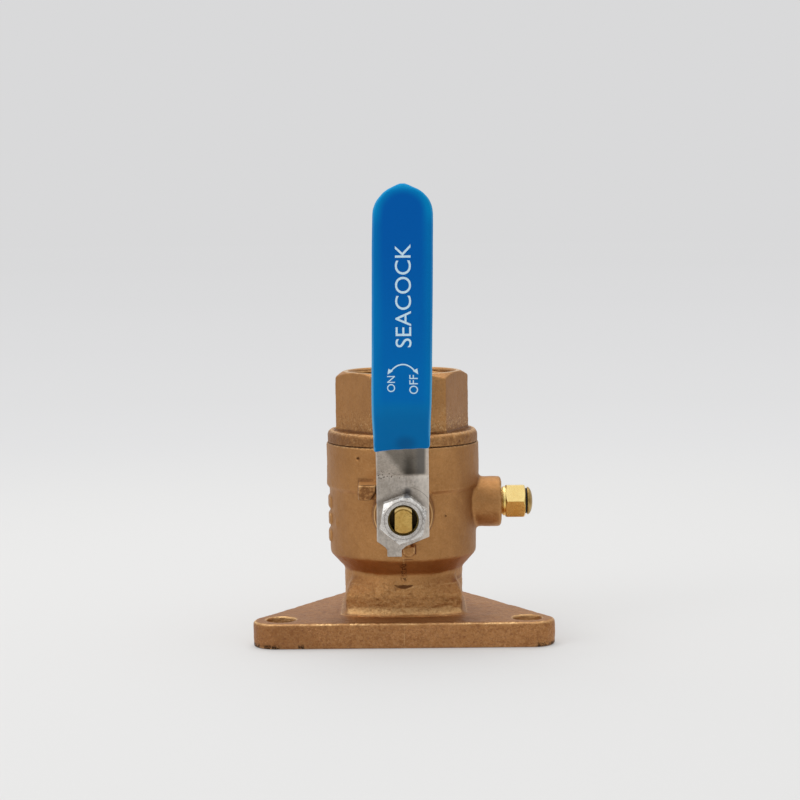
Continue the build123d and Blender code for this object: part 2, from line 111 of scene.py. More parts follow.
def layered_noise(points, size, octaves, seed):
    """Noise with each octave half the size and half the height of the one before."""
    out, height = np.zeros(len(points)), 1.0
    for k in range(octaves):
        out += height * noise3(points, size / 2 ** k, seed + k * 7)
        height *= 0.5
    return out


def smoothstep(start, end, x):
    """Runs 0 to 1 as x goes from start to end, in either direction."""
    t = np.clip((x - start) / (end - start), 0, 1)
    return t * t * (3 - 2 * t)


# =========================================================== mesh helpers
def link(name, data):
    o = bpy.data.objects.new(name, data)
    scene.collection.objects.link(o)
    return o


@contextmanager
def edited(mesh):
    """The mesh as a bmesh, written back at the end."""
    bm = bmesh.new()
    bm.from_mesh(mesh)
    yield bm
    bm.to_mesh(mesh)
    bm.free()


def mesh_from(name, verts, faces):
    """A smooth-shaded object whose faces all look outwards."""
    mesh = bpy.data.meshes.new(name)
    mesh.from_pydata([tuple(map(float, v)) for v in verts], [], [tuple(map(int, f)) for f in faces])
    mesh.validate()
    mesh.update()
    with edited(mesh) as bm:
        bmesh.ops.recalc_face_normals(bm, faces=bm.faces)
    mesh.shade_smooth()
    return link(name, mesh)


def coords(mesh):
    co = np.empty(len(mesh.vertices) * 3)
    mesh.vertices.foreach_get("co", co)
    return co.reshape(-1, 3)


def normals(mesh):
    n = np.empty(len(mesh.vertices) * 3, np.float32)
    mesh.vertices.foreach_get("normal", n)
    return n.reshape(-1, 3).astype(float)


def put(mesh, co):
    mesh.vertices.foreach_set("co", co.astype(np.float32).ravel())
    mesh.update()


def evaluated_mesh(o):
    depsgraph = bpy.context.evaluated_depsgraph_get()
    return bpy.data.meshes.new_from_object(o.evaluated_get(depsgraph), depsgraph=depsgraph)


def modify(o, kind, **settings):
    """Adds one modifier and bakes it into the mesh."""
    modifier = o.modifiers.new(kind.lower(), kind)
    for key, value in settings.items():
        setattr(modifier, key, value)
    mesh = evaluated_mesh(o)
    o.modifiers.clear()
    old = o.data
    o.data = mesh
    mesh.name = o.name
    if old.users == 0:
        bpy.data.meshes.remove(old)


def welded_copy(node, name):
    """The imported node's mesh as a new object, with its seams joined."""
    mesh = bpy.data.meshes.new(name)
    bm = bmesh.new()
    bm.from_mesh(NODES[node].data)
    bmesh.ops.remove_doubles(bm, verts=bm.verts, dist=2e-6)
    bmesh.ops.dissolve_degenerate(bm, edges=bm.edges, dist=1e-7)
    bmesh.ops.recalc_face_normals(bm, faces=bm.faces)
    bm.to_mesh(mesh)
    bm.free()
    mesh.materials.clear()
    for attribute in list(mesh.attributes):
        if attribute.name.startswith("custom") or attribute.name == "sharp_face":
            try:
                mesh.attributes.remove(attribute)
            except RuntimeError:
                # Blender refuses to remove some built-in attributes
                pass
    return link(name, mesh)


def detailed(node, name, width):
    """A crisp copy of a machined part, every hard edge broken by a small bevel."""
    o = welded_copy(node, name)
    with edited(o.data) as bm:
        bmesh.ops.dissolve_limit(bm, angle_limit=math.radians(0.6), verts=bm.verts, edges=bm.edges)
    o.data.shade_smooth()
    modify(o, "BEVEL", width=width, segments=2, limit_method="ANGLE",
           angle_limit=math.radians(28.0), use_clamp_overlap=True, harden_normals=False)
    o.data.shade_smooth()
    modify(o, "WEIGHTED_NORMAL", keep_sharp=False, weight=70)
    return o


def voxelled(node, name, voxel):
    """An even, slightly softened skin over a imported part."""
    o = welded_copy(node, name)
    modify(o, "REMESH", mode="VOXEL", voxel_size=voxel, adaptivity=0.0, use_smooth_shade=True)
    modify(o, "SMOOTH", factor=0.5, iterations=2)
    o.data.shade_smooth()
    return o


def soften(o, weight, steps):
    """Rounds the mesh off where weight (0..1 per vertex) asks for it."""
    group = o.vertex_groups.new(name="soft")
    for level in (0.25, 0.5, 0.75, 1.0):
        chosen = np.where((weight > level - 0.25) & (weight <= level))[0].tolist()
        if chosen:
            group.add(chosen, level, "REPLACE")
    modify(o, "SMOOTH", factor=0.5, iterations=steps, vertex_group="soft")
    o.vertex_groups.clear()
    o.data.shade_smooth()


def thin(o, triangles):
    """Brings the mesh down to about the given number of triangles."""
    o.data.calc_loop_triangles()
    count = len(o.data.loop_triangles)
    if count > triangles:
        modify(o, "DECIMATE", ratio=triangles / count)
        o.data.shade_smooth()


def dress(o, material, slot=None):
    o.data.materials.clear()
    o.data.materials.append(material)


def place(o, material, body, slot=None, replaces=None):
    """Gives a piece its material, the body it moves with and the node it stands in for."""
    dress(o, material, slot)
    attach(o, body)
    if replaces:
        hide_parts(replaces)


# =========================================================== node builder
def srgb(*rgb):
    """0..255 screen colour to linear colour with alpha."""
    def linear(c):
        c = c / 255.0
        return c / 12.92 if c <= 0.04045 else ((c + 0.055) / 1.055) ** 2.4
    return (*map(linear, rgb), 1.0)


class Value:
    """An output socket that can be used in ordinary arithmetic."""

    def __init__(self, nodes, socket):
        self.nodes, self.socket = nodes, socket

    def __add__(self, other):
        return self.nodes.math("ADD", self, other)

    def __sub__(self, other):
        return self.nodes.math("SUBTRACT", self, other)

    def __rsub__(self, other):
        return self.nodes.math("SUBTRACT", other, self)

    def __mul__(self, other):
        return self.nodes.math("MULTIPLY", self, other)

    def __truediv__(self, other):
        return self.nodes.math("DIVIDE", self, other)

    def __abs__(self):
        return self.nodes.math("ABSOLUTE", self)

    def sine(self):
        return self.nodes.math("SINE", self)

    def root(self):
        return self.nodes.math("SQRT", self)

    def band(self, off, on, low=0.0, high=1.0):
        """Eases from low, where the value is off, to high, where it is on."""
        inputs = {"Value": self, "From Min": off, "From Max": on, "To Min": low, "To Max": high}
        return self.nodes.add("ShaderNodeMapRange", inputs, "Result",
                              clamp=True, interpolation_type="SMOOTHSTEP")

    def between(self, rise, fall):
        """One between two limits; rise and fall are (off, on) pairs."""
        return self.band(*rise) * self.band(*fall)

    def near(self, centre, off, on):
        """One within a distance `on` of the centre, nothing beyond `off`."""
        return abs(self - centre).band(off, on)

    def xyz(self):
        node = self.nodes.node("ShaderNodeSeparateXYZ", {0: self})
        return tuple(Value(self.nodes, out) for out in node.outputs)


def larger(a, b):
    return a.nodes.math("MAXIMUM", a, b)


def length(a, b):
    return (a * a + b * b).root()


class Nodes:
    """A node tree under construction."""

    def __init__(self, tree):
        self.tree = tree
        tree.nodes.clear()

    def node(self, kind, inputs=None, **settings):
        node = self.tree.nodes.new(kind)
        for key, value in settings.items():
            setattr(node, key, value)
        for key, value in (inputs or {}).items():
            if isinstance(value, Value):
                self.tree.links.new(value.socket, node.inputs[key])
            else:
                node.inputs[key].default_value = value
        return node

    def add(self, kind, inputs=None, output=0, **settings):
        return Value(self, self.node(kind, inputs, **settings).outputs[output])

    def math(self, operation, a, b=None, clamp=False):
        inputs = {0: a} if b is None else {0: a, 1: b}
        return self.add("ShaderNodeMath", inputs, operation=operation, use_clamp=clamp)


class Material(Nodes):
    """A node material; `colour` is the base colour painted so far."""

    def __init__(self, name):
        self.material = bpy.data.materials.new(name)
        self.material.use_nodes = True
        super().__init__(self.material.node_tree)
        self.position = self.add("ShaderNodeTexCoord", output="Object")
        self.colour = None

    @cached_property
    def geometry(self):
        return self.node("ShaderNodeNewGeometry")

    @property
    def normal(self):
        return Value(self, self.geometry.outputs["Normal"])

    def own_normal(self):
        """The surface direction in the piece's own axes, so paint follows a piece that turns."""
        return self.add("ShaderNodeVectorTransform", {0: self.normal}, vector_type="NORMAL",
                        convert_from="WORLD", convert_to="OBJECT")

    def noise(self, size, detail=3.0, rough=0.55, stretch=None):
        """Noise 0..1; stretch multiplies the coordinates along x, y and z."""
        vector = self.position
        if stretch:
            vector = self.add("ShaderNodeVectorMath", {0: vector, 1: stretch}, operation="MULTIPLY")
        inputs = {"Scale": 1.0 / size, "Detail": detail, "Roughness": rough, "Vector": vector}
        return self.add("ShaderNodeTexNoise", inputs, "Fac")

    def wobble(self, size, amount, detail=3.0):
        """A small wandering length, to keep drawn lines from running true."""
        return (self.noise(size, detail) - 0.5) * amount

    def cells(self, size):
        """Distance to the nearest of a scatter of points."""
        inputs = {"Scale": 1.0 / size, "Vector": self.position}
        return self.add("ShaderNodeTexVoronoi", inputs, "Distance")

    def ramp(self, value, stops):
        node = self.node("ShaderNodeValToRGB", {0: value})
        elements = node.color_ramp.elements
        while len(elements) < len(stops):
            elements.new(1.0)
        for k, (position, colour) in enumerate(stops):
            elements[k].position = position
            elements[k].color = colour
        return Value(self, node.outputs[0])

    def mix(self, mask, a, b):
        return self.add("ShaderNodeMix", {0: mask, 6: a, 7: b}, 2, data_type="RGBA")

    def base(self, mask, first, second):
        """Starts the colour as a mix of two screen colours."""
        self.colour = self.mix(mask, srgb(*first), srgb(*second))

    def paint(self, mask, rgb, strength=None):
        """Lays a screen colour over the colour so far."""
        if strength is not None:
            mask = mask * strength
        self.colour = self.mix(mask, self.colour, srgb(*rgb))

    def bump(self, height, distance, strength):
        return self.add("ShaderNodeBump",
                        {"Strength": strength, "Distance": distance, "Height": height})

    def principled(self, roughness, metallic=None, specular=None, normal=None):
        inputs = {"Base Color": self.colour, "Metallic": metallic, "Roughness": roughness,
                  "Specular IOR Level": specular, "Normal": normal}
        return self.add("ShaderNodeBsdfPrincipled",
                        {key: value for key, value in inputs.items() if value is not None})

    def finish(self, shader):
        self.node("ShaderNodeOutputMaterial", {0: shader})
        return self.material

    def surface(self, **settings):
        return self.finish(self.principled(**settings))


def around_stem(m):
    """Distance from the stem's axis."""
    x, _, z = m.position.xyz()
    return length(x, z - STEM_Z)


def stem_axes(m):
    """Gives a material x, y, z, the height over the stem and the distance from its axis."""
    m.from_stem = around_stem(m)
    m.x, m.y, m.z = m.position.xyz()
    m.height = m.z - STEM_Z


# ============================================================ cast bronze
def cast_skin(name, coarse, wear):
    """Sand-cast bronze: mottled tan with an open grain, rough over the `coarse` (off, on) heights.

    On the material, one mask gathers bright worn edges, later joined by painted highlights, and another
    brown painted shade in hollows.
    """
    m = Material(name)
    m.x, m.y, m.z = m.position.xyz()
    m.up = m.normal.xyz()[2]
    m.nx, m.ny, _ = m.normal.xyz()
    m.radius = length(m.x, m.y)
    m.coarse = m.z.band(*coarse)
    m.grain = m.noise(size=0.00085, detail=3, rough=0.7)
    m.grit = m.noise(size=0.00135, detail=2, rough=0.6, stretch=(1.0, 1.0, 1.15))
    m.speck = m.cells(size=0.0021)
    m.peel = m.noise(size=0.0021, detail=3, rough=0.62, stretch=(0.85, 0.85, 1.35))
    mottle = m.noise(size=0.0040, detail=4, rough=0.62)
    m.colour = m.ramp(m.noise(size=0.018, detail=3, rough=0.6), [
        (0.30, srgb(178, 128, 77)), (0.52, srgb(189, 138, 85)), (0.74, srgb(198, 146, 92))])
    m.paint(mottle.band(off=0.36, on=0.66, high=0.24), (150, 102, 57))
    m.paint(m.grain.band(off=0.42, on=0.68) * (m.coarse * 0.30 + 0.24), (216, 172, 120))
    m.paint(m.grit.band(off=0.50, on=0.30) * ((m.coarse * 0.34 + 0.20) * 0.62), (116, 72, 36))
    m.paint(m.speck.band(off=0.14, on=0.035) * (m.coarse * 0.10 + 0.10), (84, 50, 28))
    m.paint(m.peel.band(off=0.50, on=0.32) * (m.coarse * 0.34), (122, 76, 40))
    m.paint(m.peel.band(off=0.54, on=0.70) * (m.coarse * 0.26), (206, 158, 104))
    pointiness = Value(m, m.geometry.outputs["Pointiness"])
    m.hollow = pointiness.band(off=0.490, on=0.435)
    patchy = m.noise(size=0.0022, detail=4, rough=0.65).band(off=0.42, on=0.62)
    m.worn = pointiness.band(off=0.512, on=0.560) * wear * (patchy * 0.70 + 0.16)
    return m


def shaded_sides(m, reach=None):
    """Painted shade, a little browner, on the left and right sides; reach limits it by height."""
    left = m.nx.band(off=-0.30, on=-0.92, high=0.44)
    right = m.nx.band(off=0.45, on=0.95, high=0.46)
    if reach is not None:
        left, right = left * reach, right * reach
    m.paint(left, (138, 94, 54))
    m.paint(right, (124, 82, 46))


def cast_finish(m):
    """The joint between body and adapter, then bright worn and lit places and painted shade in hollows;
    gives roughness, normal.
    """
    gap = (m.z + m.wobble(size=0.0021, amount=0.0005)).near(BODY_TOP, off=0.00045, on=0.00022)
    gap = gap * m.radius.band(off=0.0330, on=0.0336)
    gap = gap * m.noise(size=0.0045).band(off=0.30, on=0.62, low=0.40, high=0.85)
    m.paint(gap, (92, 56, 30))
    # bright worn edges and lines, some of them painted highlights
    m.paint(m.worn, (228, 188, 134))
    # painted shade in the hollows
    m.paint(m.hollow, (94, 54, 24), strength=0.66)
    roughness = m.grain * 0.16 + 0.42 - m.worn * 0.12
    height = m.grain * 0.75 + m.noise(size=0.0005, detail=2, rough=0.5) * 0.35
    height = height + m.grit * (m.coarse * 0.7 + 0.55)
    height = height + m.peel * (m.coarse * 2.2)
    height = height - m.speck.band(off=0.04, on=0.16, low=1.0, high=0.0) * 0.4
    return roughness, m.bump(height, distance=0.00028, strength=0.62)


def rim_chips(m):
    """Black chips along the lower front edge of the rim."""
    # x of each chip and half its length
    table = ((-0.0655, 0.0024), (-0.0585, 0.0050), (-0.0455, 0.0018), (0.0612, 0.0042),
             (0.0660, 0.0020))
    chips = reduce(larger, [m.x.near(x, off=half, on=half * 0.45) for x, half in table])
    ragged = m.noise(size=0.0012, detail=3, rough=0.7).band(off=0.42, on=0.52)
    chips = chips * (m.y.band(off=-0.0260, on=-0.0300) * ragged)
    return chips * (m.z + m.noise(size=0.0030) * 0.0022).band(off=0.0036, on=0.0024)


def flange_marks(m):
    """Tones and stains on the flange, its upward faces a little darker, painted shade under the
    shoulder; starts `line`, bright lines that are partly wear and partly painted highlight.
    """
    shoulder = m.z.between(rise=(0.0290, 0.0305), fall=(0.0385, 0.0368))
    # painted shade on the shoulder's underside
    m.paint(m.up.band(off=-0.18, on=-0.55) * shoulder, (160, 88, 22), strength=0.46)
    low = m.z.band(off=0.0128, on=0.0108)
    m.paint(low, (160, 98, 62), strength=0.26)
    m.paint(low * m.x.band(off=-0.0200, on=-0.0550, high=0.34), (120, 72, 42))
    fleck = (m.noise(size=0.0008, detail=2, rough=0.6).band(off=0.57, on=0.68)
             * m.noise(size=0.0120, detail=2).band(off=0.38, on=0.60))
    m.paint(low * (fleck * 0.42), (226, 166, 118))
    flat_top = m.z.between(rise=(0.0106, 0.0110), fall=(0.0122, 0.0118))
    m.paint(m.up.band(off=0.94, on=0.99) * flat_top, (128, 92, 64), strength=0.20)
    stain = m.noise(size=0.0011, detail=2, rough=0.6)
    m.paint(low * stain.band(off=0.54, on=0.66, high=0.30), (112, 66, 56))
    # the rim's top edge: rubbed bright, and a painted highlight
    top_edge = (m.z.between(rise=(0.0100, 0.0108), fall=(0.0123, 0.0118))
                * m.up.between(rise=(0.30, 0.62), fall=(0.985, 0.90)))
    broken = (m.noise(size=0.009, detail=3, rough=0.6).band(off=0.36, on=0.60)
              * m.noise(size=0.0012, detail=3, rough=0.7).band(off=0.36, on=0.56))
    m.line = top_edge * (broken * 0.75 + 0.30)
    for hole_x, hole_y in BOLT_HOLES:
        distance = length(m.x - hole_x, m.y - hole_y) + m.wobble(size=0.004, amount=0.0008)
        ring = distance.band(off=0.0076, on=0.0068) * m.z.band(off=0.0030, on=0.0100)
        m.line = larger(m.line, ring * 0.62)


def foot_marks(m):
    """Painted highlight on the fillet and painted shade on the faces of the foot between flange and
    neck, and on the flange in front of it.
    """
    # painted highlight on the casting fillet, front and back
    facing = abs(m.ny).band(off=0.12, on=0.34)
    fillet = m.z.between(rise=(0.0117, 0.0123), fall=(0.0162, 0.0146))
    fillet = fillet * m.up.band(off=0.98, on=0.90) * facing
    grainy = m.noise(size=0.0010, detail=3, rough=0.7).band(off=0.34, on=0.62)
    m.line = larger(m.line, fillet * (grainy * 0.42 + 0.16))
    # painted shade on the upper slopes of the foot
    slopes = (m.z.between(rise=(0.0185, 0.0215), fall=(0.0305, 0.0280))
              * (m.up.band(off=0.06, on=0.50) * m.radius.band(off=0.0262, on=0.0268)))
    slopes = slopes * abs(m.x).band(off=0.0070, on=0.0150)
    m.slopes = slopes * abs(m.ny).band(off=0.10, on=0.30)
    m.paint(m.slopes, (132, 82, 42), strength=0.34)
    # painted shade on the left and right flanks of the foot
    flank = abs(m.nx).band(off=0.05, on=0.16) * abs(m.ny).band(off=0.70, on=0.45)
    flank = flank * m.z.between(rise=(0.0114, 0.0117), fall=(0.0172, 0.0156))
    m.flank = flank * m.radius.band(off=0.0400, on=0.0380)
    m.paint(m.flank, (146, 104, 68), strength=0.60)
    # painted shade on the flange top in front of the foot
    apron = m.up.band(off=0.90, on=0.98) * m.z.band(off=0.0128, on=0.0118)
    apron = apron * (m.y.band(off=-0.0270, on=-0.0310) * abs(m.x).band(off=0.0400, on=0.0260))
    m.paint(apron, (104, 66, 34), strength=0.34)


def neck_marks(m):
    """Painted shade in the crescent dent, painted highlights on its lip and a crease, painted shade at
    a corner and in the blow holes, and the parting line on the front of the neck.
    """
    m.waver = m.wobble(size=0.0011, amount=0.0005, detail=2)
    front = m.front * m.radius.band(off=0.0300, on=0.0292)
    # painted shade in the crescent dent, with a painted highlight on a raised lip running off to the
    # right
    bow = m.z - m.x * m.x * 80.0
    crescent = ((bow + m.waver).band(off=0.02365, on=0.02400)
                * (m.z + m.waver).band(off=0.02565, on=0.02530))
    crescent = crescent * front * abs(m.x).band(off=0.0050, on=0.0038)
    patchy = m.noise(size=0.0019, detail=2).band(off=0.25, on=0.60, low=0.40, high=0.88)
    m.paint(crescent * patchy, (88, 50, 24))
    lip_z = (m.x - 0.0005) * 0.28 + 0.0234
    lip = (m.z + m.waver).near(lip_z, off=0.00040, on=0.00012) * front
    lip = lip * m.x.band(off=0.0002, on=0.0015) * m.x.band(off=0.0072, on=0.0052)
    m.line = larger(m.line, lip * 0.30)
    # painted highlight along the faint crease where the foot's corners run into the round neck
    crease = (m.z + m.waver).near(0.0250, off=0.00040, on=0.00015)
    crease = crease * m.ny.band(off=-0.2, on=-0.5) * abs(m.x).band(off=0.014, on=0.020)
    m.line = larger(m.line, crease * m.x.band(off=-0.010, on=0.016, low=0.08, high=0.20))
    # painted shade at the foot's right corner, under the neck
    corner_shade = (m.z.between(rise=(0.0251, 0.0256), fall=(0.0274, 0.0262))
            * (m.x.band(off=0.0205, on=0.0225) * m.ny.band(off=-0.1, on=-0.3)))
    m.paint(corner_shade, (120, 66, 44), strength=0.45)
    # black sand specks down the parting line under the shoulder
    parting = abs(m.x + m.wobble(size=0.0024, amount=0.0016, detail=2))
    parting = parting.band(off=0.00190, on=0.00060) * abs(m.ny).band(off=0.2, on=0.5)
    dots = (m.noise(size=0.0010, detail=2, rough=0.6).band(off=0.47, on=0.57)
            * m.z.between(rise=(0.0265, 0.0285), fall=(0.0375, 0.0350)))
    m.paint(parting * dots, (64, 38, 18), strength=0.85)
    # painted shade, near black, inside the two blow holes on the front of the chamber
    for (hole_x, _, hole_z), radius in ((BLOW_HOLE_LEFT, 0.00062), (BLOW_HOLE_RIGHT, 0.00042)):
        distance = length(m.x - hole_x, m.z - hole_z)
        well = distance.band(off=radius, on=radius * 0.5) * m.y.band(off=-0.015, on=-0.020)
        m.paint(well, (46, 28, 14), strength=0.85)
    # bright hairline down the middle of the foot's front
    hair = (abs(m.x + m.waver * 0.4).band(off=0.00034, on=0.00012)
            * (m.ny.band(off=-0.4, on=-0.7) * m.z.band(off=0.0235, on=0.0225)))
    uneven = m.noise(size=0.0030, detail=2).band(off=0.35, on=0.60, low=0.06, high=0.34)
    m.line = larger(m.line, hair * uneven)
    m.line = m.line * (1.0 - crescent * 0.9)
    m.line = m.line * (1.0 - m.flank * 0.9)


def packing_box_rings(m):
    """Painted highlight and painted shade along the turned rings round the packing box, either side of
    the lever.
    """
    front = m.y.band(off=-0.0290, on=-0.0310) * m.ny.band(off=-0.05, on=-0.3)
    distance = around_stem(m) + m.waver * 0.5
    pale = distance.near(0.0127, off=0.00032, on=0.00012) * front
    m.line = larger(m.line, pale * 0.55)
    outer = distance.near(0.0132, off=0.00034, on=0.00014) * front
    inner = distance.near(0.01215, off=0.00032, on=0.00012) * front
    m.paint(larger(outer, inner), (92, 54, 26), strength=0.42)


def upper_stop(m, height):
    """Upper lever stop: rough face, a painted highlight on its top, painted shade at its root and a
    painted shadow line along the top's front; gives the root's mask.
    """
    face = m.y.band(off=-0.0400, on=-0.0420) * m.x.band(off=-0.0095, on=-0.0105)
    face = face * height.between(rise=(0.0060, 0.0066), fall=(0.0150, 0.0145))
    mottle = m.noise(size=0.0012, detail=3, rough=0.7).band(off=0.62, on=0.42)
    m.paint(face * m.front * (mottle * 0.66), (104, 62, 30))
    m.paint(face * m.front * (height.band(off=0.0134, on=0.0130) * 0.22), (128, 76, 44))
    # painted highlight on the stop's top
    top = m.up.band(off=0.72, on=0.93) * (height.near(0.0139, off=0.0012, on=0.0007)
                                          * m.x.band(off=-0.0095, on=-0.0105))
    top = top * m.y.band(off=-0.0285, on=-0.0300)
    m.paint(top, (212, 168, 112), strength=0.62)
    # painted shade at the stop's root
    root = height.between(rise=(0.0130, 0.0136), fall=(0.0156, 0.0148))
    root = root * (m.y.band(off=-0.0330, on=-0.0316)
                   * m.x.between(rise=(-0.0205, -0.0196), fall=(-0.0098, -0.0106)))
    root = root * m.ny.band(off=0.3, on=0.0)
    m.paint(root, (112, 72, 40), strength=0.50)
    # painted shadow line along the front of the stop's top
    m.paint(top * m.y.band(off=-0.0432, on=-0.0442), (88, 54, 24), strength=0.75)
    return root


def lower_stop(m, height):
    """Lower lever stop, with painted shadow on the body to its right and underneath; gives the mask of
    its face.
    """
    stop = m.y.band(off=-0.0400, on=-0.0420) * (height.band(off=-0.0120, on=-0.0130)
                                                * m.x.band(off=-0.0030, on=-0.0020))
    stop = stop * (height.band(off=-0.0210, on=-0.0200) * m.x.band(off=0.0070, on=0.0062))
    wall = m.y.band(off=-0.0395, on=-0.0380) * m.ny.band(off=-0.4, on=-0.7)
    right = ((m.x + m.waver * 0.5).near(0.00535, off=0.00042, on=0.00018)
             * m.z.between(rise=(0.0398, 0.0406), fall=(0.0452, 0.0444)))
    under = ((m.z + m.waver * 0.5).near(0.0380, off=0.00036, on=0.00014)
             * m.x.between(rise=(-0.0010, 0.0002), fall=(0.0048, 0.0036)))
    # painted shadow on the body to the right of and under the stop
    m.paint(larger(right, under * 0.7) * wall, (96, 48, 34), strength=0.80)
    face = stop * m.x.band(off=0.0046, on=0.0026)
    grainy = m.noise(size=0.0009, detail=3, rough=0.7)
    m.paint(stop * grainy.band(off=0.35, on=0.65, low=0.45, high=0.85), (214, 160, 78))
    return face


def body_bronze(name):
    m = cast_skin(name, coarse=(0.0300, 0.0240), wear=1.0)
    m.front = m.ny.band(off=-0.15, on=-0.55)
    shaded_sides(m, reach=m.z.band(off=0.0285, on=0.0340, low=0.10))
    flange_marks(m)
    foot_marks(m)
    neck_marks(m)
    packing_box_rings(m)
    height = m.z - STEM_Z
    root = upper_stop(m, height)
    face = lower_stop(m, height)
    m.hollow = m.hollow * (1.0 - face * 0.85)
    m.worn = m.worn * (1.0 - larger(m.slopes, larger(m.flank, root)) * 0.95)
    m.worn = larger(m.worn, m.line)
    m.worn = m.worn * (1.0 - face * 0.75)
    roughness, normal = cast_finish(m)
    m.paint(rim_chips(m), (44, 28, 16), strength=0.90)
    return m.surface(metallic=0.90 - m.flank * 0.50, specular=0.5 - m.flank * 0.35,
                     roughness=roughness, normal=normal)


def collar_marks(m):
    """A rough dark collar, painted shade on its left side, a painted highlight on its lip and painted
    shade in the crease round the hexagon's foot.
    """
    z = m.z + m.wobble(size=0.0026, amount=0.0007)
    patchy = m.noise(size=0.0016, detail=3, rough=0.65).band(off=0.30, on=0.66)
    m.paint(z.band(off=0.0926, on=0.0912) * patchy, (112, 72, 40), strength=0.46)
    # painted shade on the collar's left side
    left = z.band(off=0.0938, on=0.0930) * m.nx.band(off=-0.05, on=-0.70)
    m.paint(left, (112, 72, 42), strength=0.42)
    # painted highlight on the collar's lip
    lip = z.band(off=0.0922, on=0.0930) * m.radius.band(off=0.0315, on=0.0320)
    lip = lip * m.noise(size=0.0012, detail=3, rough=0.7).band(off=0.34, on=0.58)
    m.worn = larger(m.worn, lip * 0.55)
    # painted shade in the crease round the hexagon's foot
    crevice = z.between(rise=(0.0929, 0.0934), fall=(0.0944, 0.0938))
    m.paint(crevice * m.radius.band(off=0.0322, on=0.0316), (84, 48, 22), strength=0.66)
    # bright and dark bits climbing the hexagon to an uneven height
    reach = z + m.wobble(size=0.011, amount=0.016)
    bright = z.band(off=0.0942, on=0.0948) * reach.band(off=0.1060, on=0.0955)
    bright = bright * m.noise(size=0.0009, detail=2, rough=0.6).band(off=0.53, on=0.63)
    bright = bright * m.x.band(off=-0.026, on=-0.006, low=0.30)
    m.worn = larger(m.worn, bright * 0.62)
    dark = z.band(off=0.0942, on=0.0948) * reach.band(off=0.1080, on=0.0960)
    pits = m.noise(size=0.0011, detail=2, rough=0.6, stretch=(1.0, 1.0, 0.9))
    m.paint(dark * pits.band(off=0.44, on=0.34), (104, 64, 34), strength=0.45)


def adapter_bronze(name):
    m = cast_skin(name, coarse=(0.0990, 0.0935), wear=0.35)
    shaded_sides(m)
    collar_marks(m)
    roughness, cast = cast_finish(m)
    # the top face, turned in fine rings
    ring_spacing = 0.00028
    lathe = (m.z.band(off=ADAPTER_TOP - 0.0004, on=ADAPTER_TOP - 0.00015)
             * m.up.band(off=0.90, on=0.975))
    rings = (m.radius * (2 * math.pi / ring_spacing)).sine()
    face = m.mix(m.noise(size=0.003).band(off=0.3, on=0.7), srgb(222, 188, 140), srgb(200, 160, 112))
    m.colour = m.mix(lathe, m.colour, face)
    turned = m.bump(rings, distance=0.000012, strength=0.5)
    normal = m.add("ShaderNodeMix", {0: lathe, 4: cast, 5: turned}, 1, data_type="VECTOR")
    return m.surface(metallic=0.90, roughness=roughness * (1.0 - lathe) + lathe * 0.34,
                     normal=normal)


# ======================================================== other materials
def turned_bore(name):
    """Machined bronze inside the ports and passages."""
    m = Material(name)
    blotch = m.noise(size=0.005)
    m.base(blotch.band(off=0.3, on=0.7), (206, 160, 104), (170, 122, 72))
    line_spacing = 0.0003
    z = m.position.xyz()[2]
    lines = (z * (2 * math.pi / line_spacing) + m.noise(size=0.004) * 3.0).sine()
    return m.surface(metallic=0.95, roughness=blotch * 0.14 + 0.22,
                     normal=m.bump(lines, distance=0.00001, strength=0.4))


def steel_skin(name, stretch, tones, contrast):
    """Grained stainless; contrast is the (off, on) spread of its two tones."""
    m = Material(name)
    m.streak = m.noise(size=0.0011, detail=4, rough=0.6, stretch=stretch)
    m.cloud = m.noise(size=0.0022, detail=4, rough=0.65)
    m.base(m.noise(size=0.0065, detail=4, rough=0.6).band(*contrast), *tones)
    m.paint(m.streak.band(off=0.44, on=0.72, high=0.40), (146, 139, 132))
    m.paint(m.cloud.band(off=0.54, on=0.72, high=0.35), (120, 112, 104))
    pepper = m.noise(size=0.0008, detail=2, rough=0.6)
    m.paint(pepper.band(off=0.52, on=0.66, high=0.22), (128, 116, 104))
    m.paint(pepper.band(off=0.46, on=0.34, high=0.25), (228, 220, 210))
    m.dirt = (m.cells(size=0.0021).band(off=0.06, on=0.15, low=1.0, high=0.0)
              * m.noise(size=0.007, detail=2).band(off=0.56, on=0.66))
    stem_axes(m)
    return m


def steel_finish(m, metallic, streaking, smoothness_floor):
    """Roughness rises from the floor with the streaks and the dirt."""
    fine = m.noise(size=0.00045, detail=2, rough=0.5)
    height = m.streak * 0.6 + fine * 0.4
    height = height + m.cloud * 0.8
    height = height + m.noise(size=0.0009, detail=2, rough=0.6) * 0.9
    return m.surface(metallic=metallic,
                     roughness=m.streak * streaking + smoothness_floor + m.dirt * 0.25,
                     normal=m.bump(height, distance=0.00014, strength=0.50))


def slope_reflection(m):
    """A painted dark reflection on the slope under the sleeve, its left edge slanting."""
    wander = m.wobble(size=0.006, amount=0.0022)
    across = m.x - 0.0029
    bowl = m.height - across * across * 6.0
    bottom = (bowl + wander * 0.35).band(off=0.0181, on=0.0196)
    slant = m.x + (m.height - 0.0190) * 0.765
    left = (slant + wander * 0.6).band(off=-0.0016, on=0.0026)
    right = (m.x + wander * 0.25).band(off=0.0104, on=0.0088)
    patch = bottom * left * right
    m.paint(patch, (104, 98, 88), strength=0.70)
    m.paint(patch * m.x.band(off=0.0045, on=0.0070), (92, 94, 96), strength=0.55)
    core = abs(across + wander * 0.3).band(off=0.0036, on=0.0002)
    depth = m.height.band(off=0.0300, on=0.0235, low=0.35)
    m.paint(patch * core * (depth * 0.58), (56, 52, 46))


